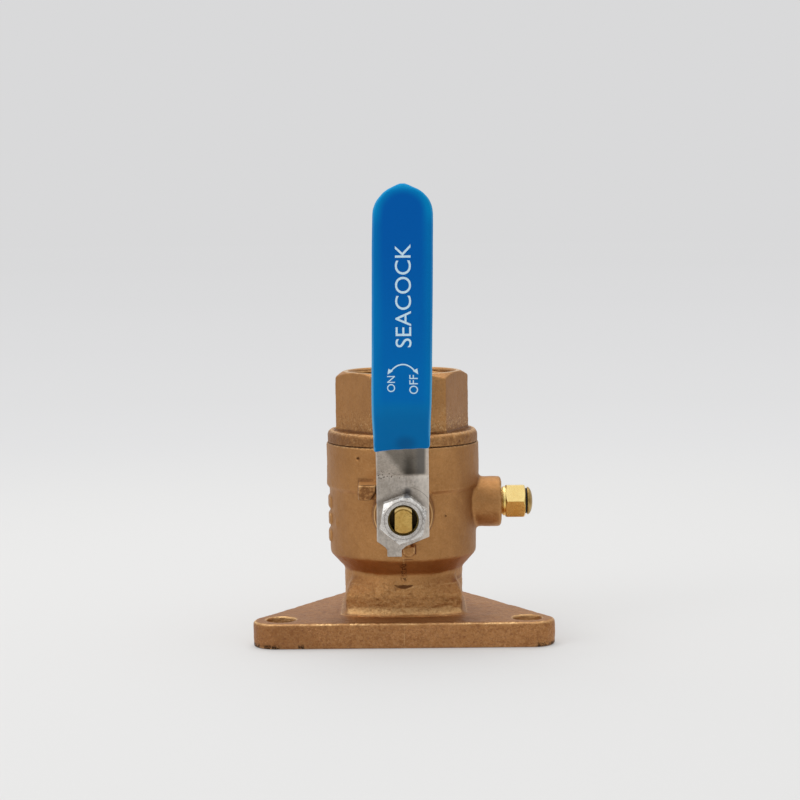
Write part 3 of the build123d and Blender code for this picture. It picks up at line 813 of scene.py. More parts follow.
def nut_seat(m):
    """Marks of the nut on the lever, a polished ring and a scratch, with painted shadow above the nut
    and painted shade in its bore.
    """
    ring = m.from_stem.between(rise=(0.0116, 0.0119), fall=(0.0124, 0.0121))
    m.paint(ring, (120, 112, 104), strength=0.10)
    # distance beyond the nut's two upper flats, which face 110 and 50 degrees
    reach = [m.x * math.cos(angle) + m.height * math.sin(angle)
             for angle in (math.radians(110), math.radians(50))]
    over = larger(*reach) - 0.0095
    # painted shadow on the lever beyond the nut's upper flats
    nut_shadow = over.band(off=0.0024, on=0.0) * m.height.band(off=0.0030, on=0.0075)
    m.paint(nut_shadow, (92, 84, 76), strength=0.50)
    # painted shadow, near black, at the nut's top corner
    apex = length(m.x - 0.0019, m.height - 0.0113)
    m.paint(apex.band(off=0.0026, on=0.0006, high=0.66), (46, 46, 54))
    scratch = (m.from_stem.near(0.0136, off=0.00022, on=0.00008)
               * (m.x.band(off=0.0015, on=0.0040) * m.height.band(off=0.0060, on=0.0090)))
    m.paint(scratch, (98, 88, 78), strength=0.45)
    # painted shade on the lever inside the nut's bore
    m.paint(m.from_stem.band(off=0.0076, on=0.0070), (66, 54, 36))


def lever_steel(name):
    m = steel_skin(name, stretch=(1.0, 1.0, 0.35), tones=((208, 199, 189), (184, 174, 163)),
                   contrast=(0.34, 0.68))
    # left side darker, right side a little brighter
    m.paint(m.x.band(off=0.0020, on=-0.0060, high=0.24), (146, 136, 124))
    m.paint(m.x.band(off=0.0050, on=0.0090, high=0.45), (240, 231, 220))
    slope_reflection(m)
    # painted highlights down the sheared edges
    m.paint(m.x.band(off=0.01085, on=0.01135, high=0.75), (244, 234, 220))
    m.paint(m.x.band(off=-0.01085, on=-0.01125, high=0.35), (236, 228, 218))
    # rust-brown specks left of the bend
    bend = m.height.near(0.0185, off=0.0030, on=0.0008) * m.x.band(off=-0.0020, on=-0.0052)
    specks = m.cells(size=0.00115).band(off=0.20, on=0.34, low=1.0, high=0.0)
    m.paint(bend * specks, (72, 60, 50), strength=0.85)
    nut_seat(m)
    m.paint(m.dirt, (70, 62, 54), strength=0.75)
    return steel_finish(m, metallic=1.0, streaking=0.22, smoothness_floor=0.28)


def nut_steel(name):
    m = steel_skin(name, stretch=(1.0, 1.0, 1.0), tones=((220, 216, 211), (190, 185, 180)),
                   contrast=(0.35, 0.7))
    # painted shade and an olive reflection on the wall of the nut's bore
    inner = m.from_stem.band(off=0.00668, on=0.00656)
    m.paint(inner, (126, 108, 58))
    arcs = m.from_stem.between(rise=(0.0079, 0.0081), fall=(0.0085, 0.0083))
    m.paint(arcs, (96, 88, 80), strength=0.45)
    # scratches and nicks
    scratches = m.noise(size=0.0016, detail=3, rough=0.7, stretch=(1.0, 1.0, 2.6))
    scratches = scratches.band(off=0.60, on=0.68) * m.from_stem.band(off=0.0080, on=0.0090)
    m.paint(scratches, (96, 88, 82), strength=0.7)
    nicks = m.cells(size=0.0031).band(off=0.10, on=0.20, low=1.0, high=0.0)
    m.paint(nicks * m.from_stem.band(off=0.0074, on=0.0084), (90, 80, 70), strength=0.6)
    m.paint(m.dirt, (70, 62, 54), strength=0.75)
    # painted highlights on the corners: upper left, upper right and, weaker, the bottom
    corners = (m.from_stem.band(off=0.0086, on=0.0092)
               * m.noise(size=0.0024, detail=3, rough=0.6).band(off=0.34, on=0.56))
    upper_left = (m.x * -0.5 + m.height).band(off=0.0040, on=0.0075)
    upper_right = ((m.x + m.height).band(off=0.0085, on=0.0105)
                   * m.x.band(off=0.0022, on=0.0036))
    corner_highlight = larger(corners * larger(upper_left, upper_right),
                   corners * m.height.band(off=-0.0030, on=-0.0060) * 0.45)
    m.paint(corner_highlight, (252, 250, 246))
    # painted dark reflection at the nut's top corner
    tip = m.height.band(off=0.0092, on=0.0100) * m.x.band(off=-0.0004, on=0.0010)
    m.paint(tip * m.x.band(off=0.0040, on=0.0030), (58, 62, 74), strength=0.8)
    metallic = m.math("SUBTRACT", 1.0 - corner_highlight * 0.75, inner * 0.85, clamp=True)
    return steel_finish(m, metallic=metallic, streaking=0.20, smoothness_floor=0.15)


def brass(name, light, dark, roughness, lit_facets=False):
    """Plain brass; set the facet flag for a painted highlight on faces that look up and a painted
    bronze reflection on faces that look down.
    """
    m = Material(name)
    blotch = m.noise(size=0.0045, detail=4, rough=0.6)
    fine = m.noise(size=0.0009, detail=3, rough=0.6)
    m.base(blotch.band(off=0.32, on=0.70), light, dark)
    spots = m.cells(size=0.0019).band(off=0.05, on=0.16, low=1.0, high=0.0)
    m.paint(spots * blotch.band(off=0.5, on=0.62), (110, 70, 30), strength=0.7)
    if lit_facets:
        up = m.normal.xyz()[2]
        # painted highlight on faces that look up, painted reflection of the bronze on faces that look
        # down
        m.paint(up.band(off=0.10, on=0.45, high=0.50), (255, 232, 166))
        m.paint(up.band(off=-0.10, on=-0.45, high=0.60), (240, 174, 86))
    return m.surface(metallic=1.0, roughness=fine * 0.18 + roughness,
                     normal=m.bump(fine, distance=0.00005, strength=0.35))


def stem_brass(name):
    """Turned brass: small pits, painted shade on the end's chamfer and on the stem in the nut's gap, a
    painted highlight on the end's upper rim.
    """
    m = Material(name)
    stem_axes(m)
    blotch = m.noise(size=0.0035, detail=4, rough=0.6)
    fine = m.noise(size=0.0008, detail=3, rough=0.65)
    m.base(blotch.band(off=0.32, on=0.70), (216, 180, 104), (194, 152, 80))
    m.paint(fine.band(off=0.50, on=0.68, high=0.45), (150, 112, 56))
    pits = (m.cells(size=0.0016).band(off=0.16, on=0.05)
            * m.noise(size=0.004, detail=2).band(off=0.45, on=0.6))
    m.paint(pits, (96, 66, 28), strength=0.7)
    # painted shade on the upper part of the end's chamfer
    chamfer = m.from_stem.between(rise=(0.00425, 0.00450), fall=(0.00490, 0.00465))
    m.paint(chamfer * m.height.band(off=0.0010, on=0.0030), (92, 62, 26), strength=0.75)
    # painted highlight on the upper rim of the end
    rim = m.from_stem.band(off=0.0049, on=0.0052) * m.height.band(off=0.0010, on=0.0030)
    m.paint(rim, (250, 226, 168), strength=0.55)
    # painted shade on the stem in the gap inside the nut
    m.paint(m.y.between(rise=(-0.0557, -0.0550), fall=(-0.0460, -0.0468)), (60, 44, 24))
    return m.surface(metallic=1.0, roughness=fine * 0.2 + 0.30,
                     normal=m.bump(fine, distance=0.00008, strength=0.5))


def vinyl(name):
    """Dipped blue vinyl: satin, faint orange peel, painted highlights, sheen and shade, lighter and
    greener where it turns away.
    """
    m = Material(name)
    x, _, z = m.position.xyz()
    own_x, own_y, up = m.own_normal().xyz()
    peel = m.noise(size=0.0011, detail=2, rough=0.5)
    m.base(z.band(off=0.100, on=0.190), (0, 113, 188), (0, 95, 180))
    m.paint(z.band(off=0.1135, on=0.1085), (0, 118, 184))
    # painted sheen on the rounded sides
    m.paint(x.near(0.0005, off=0.0072, on=0.0118), (0, 124, 192), strength=0.75)
    m.paint(m.noise(size=0.02, detail=3, rough=0.5).band(off=0.3, on=0.7, high=0.14), (0, 82, 164))
    # painted highlight on the rounded tip, as the fraction of an ellipse about its middle
    tip_across = (x - 0.0009) / 0.0127
    tip_along = m.math("MAXIMUM", z - (STEM_Z + 0.1307), 0.0) / 0.0132
    tip = (length(tip_across, tip_along).band(off=0.60, on=1.0)
           * z.band(off=STEM_Z + 0.1250, on=STEM_Z + 0.1340))
    m.paint(tip, (0, 148, 208), strength=0.80)
    # painted highlight on faces that look up
    m.paint(up.band(off=0.10, on=0.70, high=0.45), (20, 158, 214))
    # painted shade on the sloping part, and a painted dark reflection on it
    sideways = abs(own_x)
    slope = z.band(off=0.1110, on=0.1020) * sideways.band(off=0.50, on=0.30)
    m.paint(slope, (0, 104, 168), strength=0.55)
    spot_x, spot_z = x - 0.0012, z - 0.0925
    spot = (spot_x * spot_x * 0.55 + spot_z * spot_z).root()
    spot = spot.band(off=0.0050, on=0.0010) * own_y.band(off=-0.3, on=-0.7)
    m.paint(spot, (8, 76, 128), strength=0.52)
    # painted sheen on the edges and a painted highlight on the lower lip
    m.paint(sideways.band(off=0.50, on=0.80, high=0.50) * z.band(off=0.150, on=0.115, low=0.28),
            (112, 198, 232))
    m.paint(up.band(off=-0.82, on=-0.94, high=0.85), (176, 220, 238))
    # painted sheen where the surface turns away
    facing = m.add("ShaderNodeLayerWeight", {"Blend": 0.3}, "Facing")
    m.paint(facing.band(off=0.45, on=0.98, high=0.7), (30, 158, 210))
    dust = m.cells(size=0.009).band(off=0.012, on=0.03, low=1.0, high=0.0)
    m.paint(dust, (0, 60, 110), strength=0.25)
    return m.surface(roughness=peel * 0.12 + 0.42, specular=0.05,
                     normal=m.bump(peel, distance=0.00005, strength=0.18))


def ink(name):
    m = Material(name)
    blotch = m.noise(size=0.0011, detail=4, rough=0.65)
    m.base(blotch.band(off=0.35, on=0.7), (210, 241, 255), (196, 230, 250))
    return m.surface(roughness=blotch * 0.2 + 0.45,
                     normal=m.bump(blotch, distance=0.00002, strength=0.3))


def rubber(name):
    m = Material(name)
    blotch = m.noise(size=0.0016, detail=4, rough=0.6)
    m.base(blotch.band(off=0.3, on=0.7), (22, 21, 20), (41, 39, 38))
    return m.surface(roughness=blotch * 0.2 + 0.5,
                     normal=m.bump(blotch, distance=0.00004, strength=0.4))


def ptfe(name):
    m = Material(name)
    blotch = m.noise(size=0.004, detail=4, rough=0.6)
    m.base(blotch.band(off=0.3, on=0.7), (240, 239, 234), (224, 222, 214))
    fine = m.noise(size=0.0007, detail=2)
    return m.surface(roughness=blotch * 0.15 + 0.38,
                     normal=m.bump(fine, distance=0.00003, strength=0.25))


def chrome(name):
    m = Material(name)
    fine = m.noise(size=0.0006, detail=3, rough=0.6, stretch=(1.0, 0.12, 1.0))
    blotch = m.noise(size=0.012, detail=4, rough=0.6)
    m.base(blotch.band(off=0.3, on=0.7), (226, 228, 230), (208, 211, 214))
    return m.surface(metallic=1.0, roughness=fine * 0.08 + 0.06,
                     normal=m.bump(fine, distance=0.00001, strength=0.15))


M_CAST = body_bronze("cast_bronze")
M_ADAPTER = adapter_bronze("adapter_bronze")
M_BORE = turned_bore("turned_bore")
M_LEVER = lever_steel("lever_steel")
M_NUT = nut_steel("nut_steel")
M_STEM = stem_brass("stem_brass")
M_DRAIN = brass("drain_brass", light=(250, 222, 140), dark=(234, 194, 106), roughness=0.20,
                lit_facets=True)
M_KNOB = brass("knob_brass", light=(190, 160, 98), dark=(154, 120, 66), roughness=0.28)
M_GLAND = brass("gland_brass", light=(206, 164, 96), dark=(176, 132, 70), roughness=0.30)
M_VINYL = vinyl("blue_vinyl")
M_INK = ink("print_white")
M_RUBBER = rubber("black_rubber")
M_PTFE = ptfe("ptfe")
M_CHROME = chrome("ball_chrome")

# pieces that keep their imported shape
for node, material in (
        ("body_seal_ring", M_PTFE), ("seat_lower", M_PTFE), ("seat_upper", M_PTFE),
        ("stem_thrust_washer", M_PTFE), ("packing_ring_inner", M_PTFE),
        ("packing_ring_middle", M_PTFE), ("packing_ring_outer", M_PTFE),
        ("stem_oring", M_RUBBER), ("gland_follower", M_GLAND), ("ball", M_CHROME),
        ("drain_screw_ring", M_RUBBER)):
    dress(NODES[node], material)


# ============================================================ cast pieces
# Outline of the turned chamber, from the neck up: (radius, height) in mm,
# and the fillet radius at each inner corner.
CHAMBER_OUTLINE = [(26.9, 26.2), (26.9, 30.2), (33.4, 37.3), (33.4, 66.5), (34.75, 68.3),
                   (34.75, BODY_TOP / MM)]
CHAMBER_FILLETS = (3.6, 3.4, 1.4, 1.2)


def fillet_points(before, corner, after, radius, steps=10):
    """Points of a fillet at a corner of a (radius, height) outline."""
    corner = np.array(corner)
    a = np.array(before, float) - corner
    b = np.array(after, float) - corner
    a /= np.linalg.norm(a)
    b /= np.linalg.norm(b)
    half = math.acos(np.clip(a @ b, -1, 1)) / 2
    reach = radius / math.tan(half)
    centre = corner + (a + b) / np.linalg.norm(a + b) * (radius / math.sin(half))
    start, end = corner + a * reach, corner + b * reach
    angle = math.atan2(*(start - centre)[::-1])
    turn = (math.atan2(*(end - centre)[::-1]) - angle + math.pi) % (2 * math.pi) - math.pi
    angles = [angle + turn * k / steps for k in range(steps + 1)]
    return [tuple(centre + radius * np.array((math.cos(t), math.sin(t)))) for t in angles]


def chamber_profile():
    """The filleted outline in metres, sorted by height: radii, heights."""
    points = [CHAMBER_OUTLINE[0]]
    for i, radius in enumerate(CHAMBER_FILLETS, 1):
        points += fillet_points(*CHAMBER_OUTLINE[i - 1:i + 2], radius)
    points.append(CHAMBER_OUTLINE[-1])
    profile = np.array(points) * MM
    return profile[np.argsort(profile[:, 1], kind="stable")].T


def snap_to_radius(co, radius, tolerance, chosen=True):
    """Brings chosen points that lie within tolerance of a radius about Z exactly on to it."""
    r = np.hypot(co[:, 0], co[:, 1])
    near = chosen & (np.abs(r - radius) < tolerance)
    co[:, :2] *= np.where(near, radius / np.maximum(r, 1e-9), 1.0)[:, None]


def add_spots(relief, co, spots):
    """Round dents and lumps from a table of centre, size, height (a dent's is negative)."""
    for centre, size, height in spots:
        square = ((co - np.array(centre)) ** 2).sum(1)
        relief += height * np.exp(-square / (size * size))


def push_out(mesh, co, normal, relief, lo, hi):
    """Moves the skin along its normals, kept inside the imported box."""
    co += normal * relief[:, None]
    put(mesh, np.minimum(np.maximum(co, np.array(lo)), np.array(hi)))


BODY_SPOTS = (
    # blow holes and dents
    (BLOW_HOLE_LEFT, 0.00075, -0.0009), (BLOW_HOLE_RIGHT, 0.00055, -0.0005),
    ((0.00812, -0.02700, 0.0237), 0.0009, -0.0005),
    ((0.0305, 0.0140, 0.078), 0.0008, -0.0006),
    ((-0.012, 0.0325, 0.049), 0.0007, -0.0006),
    ((-0.0655, -0.0330, 0.0012), 0.0016, -0.0011),
    ((-0.0600, -0.0428, 0.0008), 0.0014, -0.0009),
    ((0.0655, -0.0322, 0.0012), 0.0013, -0.0008),
    # lumps where the parting line crosses the neck, and one on the chamber's left
    ((0.0002, -0.0273, 0.0322), 0.0011, 0.00045), ((-0.0004, -0.0271, 0.0300), 0.0009, 0.00035),
    ((0.0003, -0.0300, 0.0348), 0.0008, 0.00030), ((0.0002, -0.0282, 0.0215), 0.0012, 0.00022),
    ((-0.0300, -0.0148, 0.0517), 0.0016, 0.00055),
)
ADAPTER_SPOTS = (
    ((0.0262, -0.0226, 0.0895), 0.0009, -0.0007), ((0.0135, -0.0262, 0.0985), 0.0007, -0.0005),
    ((-0.0180, -0.0215, 0.1040), 0.0006, -0.0004),
)


def body_skin(co, normal):
    """How much of the body's as-cast skin shows: 0 on machined places, 1 elsewhere."""
    x, y, z = co.T
    r = np.hypot(x, y)
    radial = np.stack([x, y], 1) / np.maximum(r, 1e-9)[:, None]
    outward = (normal[:, :2] * radial).sum(1)
    skin = np.ones(len(co))
    flange_face = (z > 0.0105) & (z < 0.013) & (r > 0.030)
    skin[(outward < -0.2) & (r < 0.0334) & ~flange_face] = 0.0
    skin[r < 0.0252] = 0.0
    skin *= smoothstep(0.0001, 0.0009, z)
    skin[(np.hypot(x, z - STEM_Z) < 0.0094) & (y < -0.029)] = 0.0
    skin[(np.hypot(y, z - DRAIN_Z) < 0.0054) & (x > 0.030)] = 0.0
    skin *= smoothstep(BODY_TOP, BODY_TOP - 0.0006, z)
    for hole_x, hole_y in BOLT_HOLES:
        distance = np.hypot(x - hole_x, y - hole_y)
        skin *= np.where(z < FLANGE_TOP + 0.002, smoothstep(0.0066, 0.0078, distance), 1.0)
    return skin


def body_relief(co):
    """Slow waviness, lumps and sand grain, rougher at the foot and the flange."""
    z = co[:, 2]
    relief = (0.00013 * layered_noise(co, size=0.013, octaves=2, seed=1)
              + 0.00007 * layered_noise(co, size=0.0042, octaves=2, seed=5)
              + 0.000055 * layered_noise(co, size=0.0017, octaves=2, seed=9))
    foot = smoothstep(0.030, 0.022, z) * smoothstep(0.012, 0.014, z)
    flattened = co * np.array((0.9, 0.9, 1.4))
    relief += foot * (0.00016 * layered_noise(flattened, size=0.0024, octaves=3, seed=21))
    relief += (smoothstep(0.0125, 0.0105, z) * 0.00007
               * layered_noise(co, size=0.0022, octaves=2, seed=33))
    add_spots(relief, co, BODY_SPOTS)
    return relief


def cast_body():
    o = voxelled("valve_body", "cast_valve_body", voxel=0.00052)
    co = coords(o.data)
    r, z = np.hypot(co[:, 0], co[:, 1]), co[:, 2]
    foot = smoothstep(0.0180, 0.0215, z) * (1 - smoothstep(0.0290, 0.0315, z)) * (r > 0.0255)
    soften(o, foot, steps=30)
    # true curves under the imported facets
    co = coords(o.data)
    z = co[:, 2]
    radii, heights = chamber_profile()
    snap_to_radius(co, np.interp(z, heights, radii), tolerance=0.00012,
                   chosen=(z > 0.0262) & (z < BODY_TOP - 0.0007))
    snap_to_radius(co, BORE_RADIUS, tolerance=0.00009)
    put(o.data, co)
    normal = normals(o.data)
    push_out(o.data, co, normal, body_relief(co) * body_skin(co, normal), BODY_LO, BODY_HI)
    thin(o, triangles=196000)
    return o


def adapter_skin(co):
    """0 in the bore and on the machined end faces, 1 elsewhere."""
    z = co[:, 2]
    skin = np.ones(len(co))
    skin[np.hypot(co[:, 0], co[:, 1]) < 0.0249] = 0.0
    skin[z < BODY_TOP + 0.0002] = 0.0
    skin *= 1 - smoothstep(ADAPTER_TOP - 0.0004, ADAPTER_TOP - 0.0001, z)
    return skin


def adapter_relief(co):
    """The cast skin, roughest at the foot of the hexagon and the collar."""
    z = co[:, 2]
    relief = (0.00010 * layered_noise(co, size=0.012, octaves=2, seed=41)
              + 0.00006 * layered_noise(co, size=0.004, octaves=2, seed=45)
              + 0.00005 * layered_noise(co, size=0.0017, octaves=2, seed=49))
    low = smoothstep(0.0985, 0.0935, z) * smoothstep(BODY_TOP - 0.001, BODY_TOP + 0.002, z)
    relief += low * 0.00013 * layered_noise(co, size=0.0024, octaves=3, seed=61)
    relief += (0.00012 * np.maximum(noise3(co, size=0.0016, seed=67), 0)
               * smoothstep(0.0985, 0.0958, z) * smoothstep(0.0932, 0.0945, z))
    add_spots(relief, co, ADAPTER_SPOTS)
    return relief


def cast_adapter():
    o = voxelled("end_adapter", "cast_end_adapter", voxel=0.00045)
    co = coords(o.data)
    r, z = np.hypot(co[:, 0], co[:, 1]), co[:, 2]
    hexagon = (smoothstep(0.0940, 0.0955, z)
               * (1 - smoothstep(ADAPTER_TOP - 0.0022, ADAPTER_TOP - 0.0008, z)) * (r > 0.0255))
    soften(o, hexagon, steps=12)
    co = coords(o.data)
    z = co[:, 2]
    snap_to_radius(co, COLLAR_RADIUS, tolerance=0.0001,
                   chosen=(z > BODY_TOP + 0.0006) & (z < 0.0910))
    snap_to_radius(co, BORE_RADIUS, tolerance=0.00009)
    put(o.data, co)
    push_out(o.data, co, normals(o.data), adapter_relief(co) * adapter_skin(co),
             ADAPTER_LO, ADAPTER_HI)
    thin(o, triangles=150000)
    return o


place(cast_body(), M_CAST, "valve", slot="cast_bronze", replaces="valve_body")
place(cast_adapter(), M_ADAPTER, "valve", slot="adapter_bronze", replaces="end_adapter")


# ========================================================== screw threads
THREAD_DEPTH = 0.00145
THREAD_PITCH = 0.002309
THREAD_START, THREAD_END = 0.0016, 0.0238    # distances in from the mouth of the port
TURN_STEPS = 88
# ridge section: (along the bore in pitches, height in thread depths)
THREAD_SECTION = [(-0.47, -0.04), (-0.33, 0.30), (-0.13, 0.93), (0.0, 1.0), (0.13, 0.93),
                  (0.33, 0.30), (0.47, -0.04)]


def thread(name, z0, z1, slot):
    """A helical ridge standing on the bore's wall, run out to nothing at both ends."""
    count = int((z1 - z0) / THREAD_PITCH * TURN_STEPS)
    size = len(THREAD_SECTION)
    run_out = TURN_STEPS * 0.6
    verts, faces = [], []
    for i in range(count + 1):
        angle = 2 * math.pi * i / TURN_STEPS
        z = z0 + THREAD_PITCH * i / TURN_STEPS
        fade = min(1.0, (i + 1) / run_out, (count - i + 1) / run_out)
        for along, height in THREAD_SECTION:
            radius = BORE_RADIUS - (height * fade if height > 0 else height) * THREAD_DEPTH
            verts.append((radius * math.cos(angle), radius * math.sin(angle),
                          z + along * THREAD_PITCH))
    for i in range(count):
        for k in range(size):
            after = (k + 1) % size
            faces.append((i * size + k, i * size + after, (i + 1) * size + after,
                          (i + 1) * size + k))
    faces.append(tuple(range(size))[::-1])
    faces.append(tuple(count * size + k for k in range(size)))
    place(mesh_from(name, verts, faces), M_BORE, "valve", slot=slot)


thread("outlet_thread", ADAPTER_TOP - THREAD_END, ADAPTER_TOP - THREAD_START, "adapter_bronze")
thread("hull_thread", THREAD_START, THREAD_END, "cast_bronze")

# ======================================================== machined pieces
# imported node, object, bevel width, material, slot, body
for node, name, width, material, slot, body in (
        ("lever", "bent_lever", 0.00030, M_LEVER, "lever_steel", "handle"),
        ("lever_nut", "hex_nut", 0.00022, M_NUT, "nut_steel", "handle"),
        ("stem", "stem_shaft", 0.00018, M_STEM, "stem_brass", "handle"),
        ("gland_nut", "gland_hex", 0.00020, M_GLAND, "stem_brass", "valve"),
        ("drain_fitting", "drain_hex", 0.00020, M_DRAIN, "drain_brass", "valve"),
        ("drain_screw", "drain_knob_head", 0.00015, M_KNOB, "drain_brass", "drain_knob")):
    place(detailed(node, name, width), material, body, slot=slot, replaces=node)

# ============================================================ grip sleeve
# Heights here are measured up from the stem's axis.
PLATE_BACK, PLATE_THICKNESS = 0.0440, 0.0030     # back of the lever plate, in front of the axis
PLATE_MIDDLE = PLATE_BACK + PLATE_THICKNESS / 2
LOWER_BEND, UPPER_BEND = 0.0186, 0.0527
BEND_SHIFT = 0.0259                              # how far the bends carry the plate forward
BEND_SLOPE = math.atan2(BEND_SHIFT, UPPER_BEND - LOWER_BEND)
BEND_RADIUS = 0.0052
BEND_REACH = BEND_RADIUS * math.tan(BEND_SLOPE / 2)

SLEEVE_LOW = 32.15 * MM
SLEEVE_TIP = GRIP_HI.z - STEM_Z
SLEEVE_CORNER = 2.25 * MM
SLEEVE_CROWN = 0.22 * MM           # how far the front swells in its middle
LEAST_HALF_WIDTH = 0.0004

# the sleeve's two sides: (height, x) in mm
SLEEVE_RIGHT = np.array([
    (28.0, 11.60), (31.3, 11.66), (33.0, 11.76), (35.8, 11.84), (38.6, 11.94), (41.3, 12.02),
    (44.1, 12.08), (46.9, 12.16), (49.6, 12.28), (52.3, 12.40), (55.0, 12.49), (60.0, 12.59),
    (70.0, 12.72), (82.8, 12.94), (95.3, 13.16), (107.8, 13.35), (116.1, 13.47), (126.5, 13.56),
    (130.7, 13.56), (132.7, 13.43), (134.4, 13.12), (136.0, 12.55), (137.2, 11.95), (138.5, 11.0),
    (139.3, 10.25), (140.14, 9.4), (140.96, 8.3), (141.4, 7.6), (141.8, 6.8), (142.2, 5.9),
    (142.6, 5.0), (143.0, 4.15), (143.4, 3.25), (143.72, 2.4), (143.9, 1.95)]) * MM
SLEEVE_LEFT = np.array([
    (28.0, -12.34), (31.3, -12.38), (33.0, -12.43), (35.8, -12.50), (38.6, -12.62),
    (41.3, -12.76), (44.1, -12.86), (46.9, -12.93), (52.3, -12.94), (57.4, -12.93),
    (65.0, -12.84), (70.0, -12.74), (82.8, -12.58), (95.3, -12.44), (107.8, -12.30),
    (116.1, -12.17), (126.5, -11.98), (130.7, -11.88), (132.7, -11.68), (134.4, -11.2),
    (136.0, -10.5), (136.9, -9.98), (138.5, -8.75), (139.3, -8.05), (140.14, -7.25),
    (140.96, -6.15), (141.4, -5.5), (141.8, -4.85), (142.2, -4.0), (142.6, -3.2),
    (143.0, -2.35), (143.4, -1.45), (143.72, -0.6), (143.9, -0.15)]) * MM

# rolled lip at the sleeve's foot, in mm: (height over it, change of half width, of half thickness)
LIP_RINGS = ((0.0, -0.26, -0.22), (-0.02, -0.16, -0.16), (0.03, -0.06, -0.06),
             (0.16, -0.005, -0.005))


def plate_path(h):
    """Centre line of the bent plate at height h: (distance in front of the axis, lean)."""
    if h <= LOWER_BEND - BEND_REACH:
        return PLATE_MIDDLE, 0.0
    if h < LOWER_BEND + BEND_REACH * math.cos(BEND_SLOPE):
        lean = math.asin(min(1.0, (h - (LOWER_BEND - BEND_REACH)) / BEND_RADIUS))
        return PLATE_MIDDLE + BEND_RADIUS * (1 - math.cos(lean)), lean
    if h <= UPPER_BEND - BEND_REACH * math.cos(BEND_SLOPE):
        return PLATE_MIDDLE + (h - LOWER_BEND) * math.tan(BEND_SLOPE), BEND_SLOPE
    if h < UPPER_BEND + BEND_REACH:
        lean = math.asin(min(1.0, (UPPER_BEND + BEND_REACH - h) / BEND_RADIUS))
        return PLATE_MIDDLE + BEND_SHIFT - BEND_RADIUS * (1 - math.cos(lean)), lean
    return PLATE_MIDDLE + BEND_SHIFT, 0.0


def smooth_curve(h, outline):
    """Monotone cubic through the points of one side."""
    hs, xs = outline.T
    slope = np.diff(xs) / np.diff(hs)
    tangent = np.zeros(len(xs))
    tangent[0], tangent[-1] = slope[0], slope[-1]
    for i in range(1, len(xs) - 1):
        if slope[i - 1] * slope[i] > 0:
            w1 = 2 * (hs[i + 1] - hs[i]) + (hs[i] - hs[i - 1])
            w2 = (hs[i + 1] - hs[i]) + 2 * (hs[i] - hs[i - 1])
            tangent[i] = (w1 + w2) / (w1 / slope[i - 1] + w2 / slope[i])
    i = np.clip(np.searchsorted(hs, h) - 1, 0, len(hs) - 2)
    w = hs[i + 1] - hs[i]
    t = (h - hs[i]) / w
    return ((2 * t ** 3 - 3 * t ** 2 + 1) * xs[i] + (t ** 3 - 2 * t ** 2 + t) * w * tangent[i]
            + (-2 * t ** 3 + 3 * t ** 2) * xs[i + 1] + (t ** 3 - t ** 2) * w * tangent[i + 1])


def sleeve_span(h):
    """Half the sleeve's width, and the x of its middle."""
    right, left = smooth_curve(h, SLEEVE_RIGHT), smooth_curve(h, SLEEVE_LEFT)
    return (right - left) / 2, (right + left) / 2


def sleeve_half_thickness(h):
    """Thin where the sleeve starts, full along the grip, rounded off at the tip."""
    thin_wall, full_wall, tip_length = 0.32 * MM, 1.12 * MM, 3.8 * MM
    filled = float(smoothstep(SLEEVE_LOW, SLEEVE_LOW + 16 * MM, h))
    t = PLATE_THICKNESS / 2 + thin_wall + (full_wall - thin_wall) * filled
    to_tip = SLEEVE_TIP - h
    if to_tip < tip_length:
        t *= math.sqrt(max(0.0, 1 - (1 - to_tip / tip_length) ** 2)) * 0.90 + 0.10
    return t


def sleeve_front(x, h):
    """Distance in front of the axis of the sleeve's front skin on its upright part."""
    half_width, middle = sleeve_span(h)
    t = sleeve_half_thickness(h)
    corner = min(SLEEVE_CORNER, half_width * 0.92, t * 0.98)
    u = np.clip((x - middle) / (half_width - corner), -1, 1)
    return plate_path(h)[0] + t + SLEEVE_CROWN * (1 - u * u)


def section(w, t, corner, crown, n_flat=14, n_arc=8):
    """Closed rounded-bar outline of half width w, half thickness t: (across, through) points."""
    corner = max(min(corner, w * 0.92, t * 0.98), 1e-5)

    def flat(side, swell):
        steps = [-1 + 2 * k / n_flat for k in range(n_flat)]
        return [(side * u * (w - corner), side * (t + swell * (1 - u * u))) for u in steps]

    def arc(across, through, start):
        angles = [start - math.pi / 2 * k / n_arc for k in range(n_arc)]
        return [(across * (w - corner) + corner * math.cos(a),
                 through * (t - corner) + corner * math.sin(a)) for a in angles]

    return (flat(1, crown) + arc(1, 1, math.pi / 2) + arc(1, -1, 0.0)
            + flat(-1, 0.5 * crown) + arc(-1, -1, -math.pi / 2) + arc(-1, 1, math.pi))


def foot_sag(x):
    """How the sleeve's lower edge droops to the left, with a slight ripple."""
    u = float(np.clip((0.5 * MM - x) / (12.4 * MM), 0.0, 1.0))
    return (-2.1 * MM * (0.35 * u + 0.65 * u * u) + 0.10 * MM * math.sin(x / MM * 1.1)
            - 0.12 * MM * math.cos(x / MM * 0.42))


def outer_ring(h, wider, thicker):
    """Points of the sleeve's outside at height h."""
    distance, lean = plate_path(h)
    half_width, middle = sleeve_span(h)
    fade = float(1 - smoothstep(SLEEVE_LOW, SLEEVE_LOW + 9 * MM, h))
    ring = []
    for across, through in section(max(half_width + wider, LEAST_HALF_WIDTH),
                                   sleeve_half_thickness(h) + thicker,
                                   SLEEVE_CORNER, SLEEVE_CROWN):
        x = middle + across
        sag = foot_sag(x) * fade
        ring.append((x, -distance - math.cos(lean) * through - math.sin(lean) * sag,
                     h + STEM_Z - math.sin(lean) * through + math.cos(lean) * sag))
    return ring


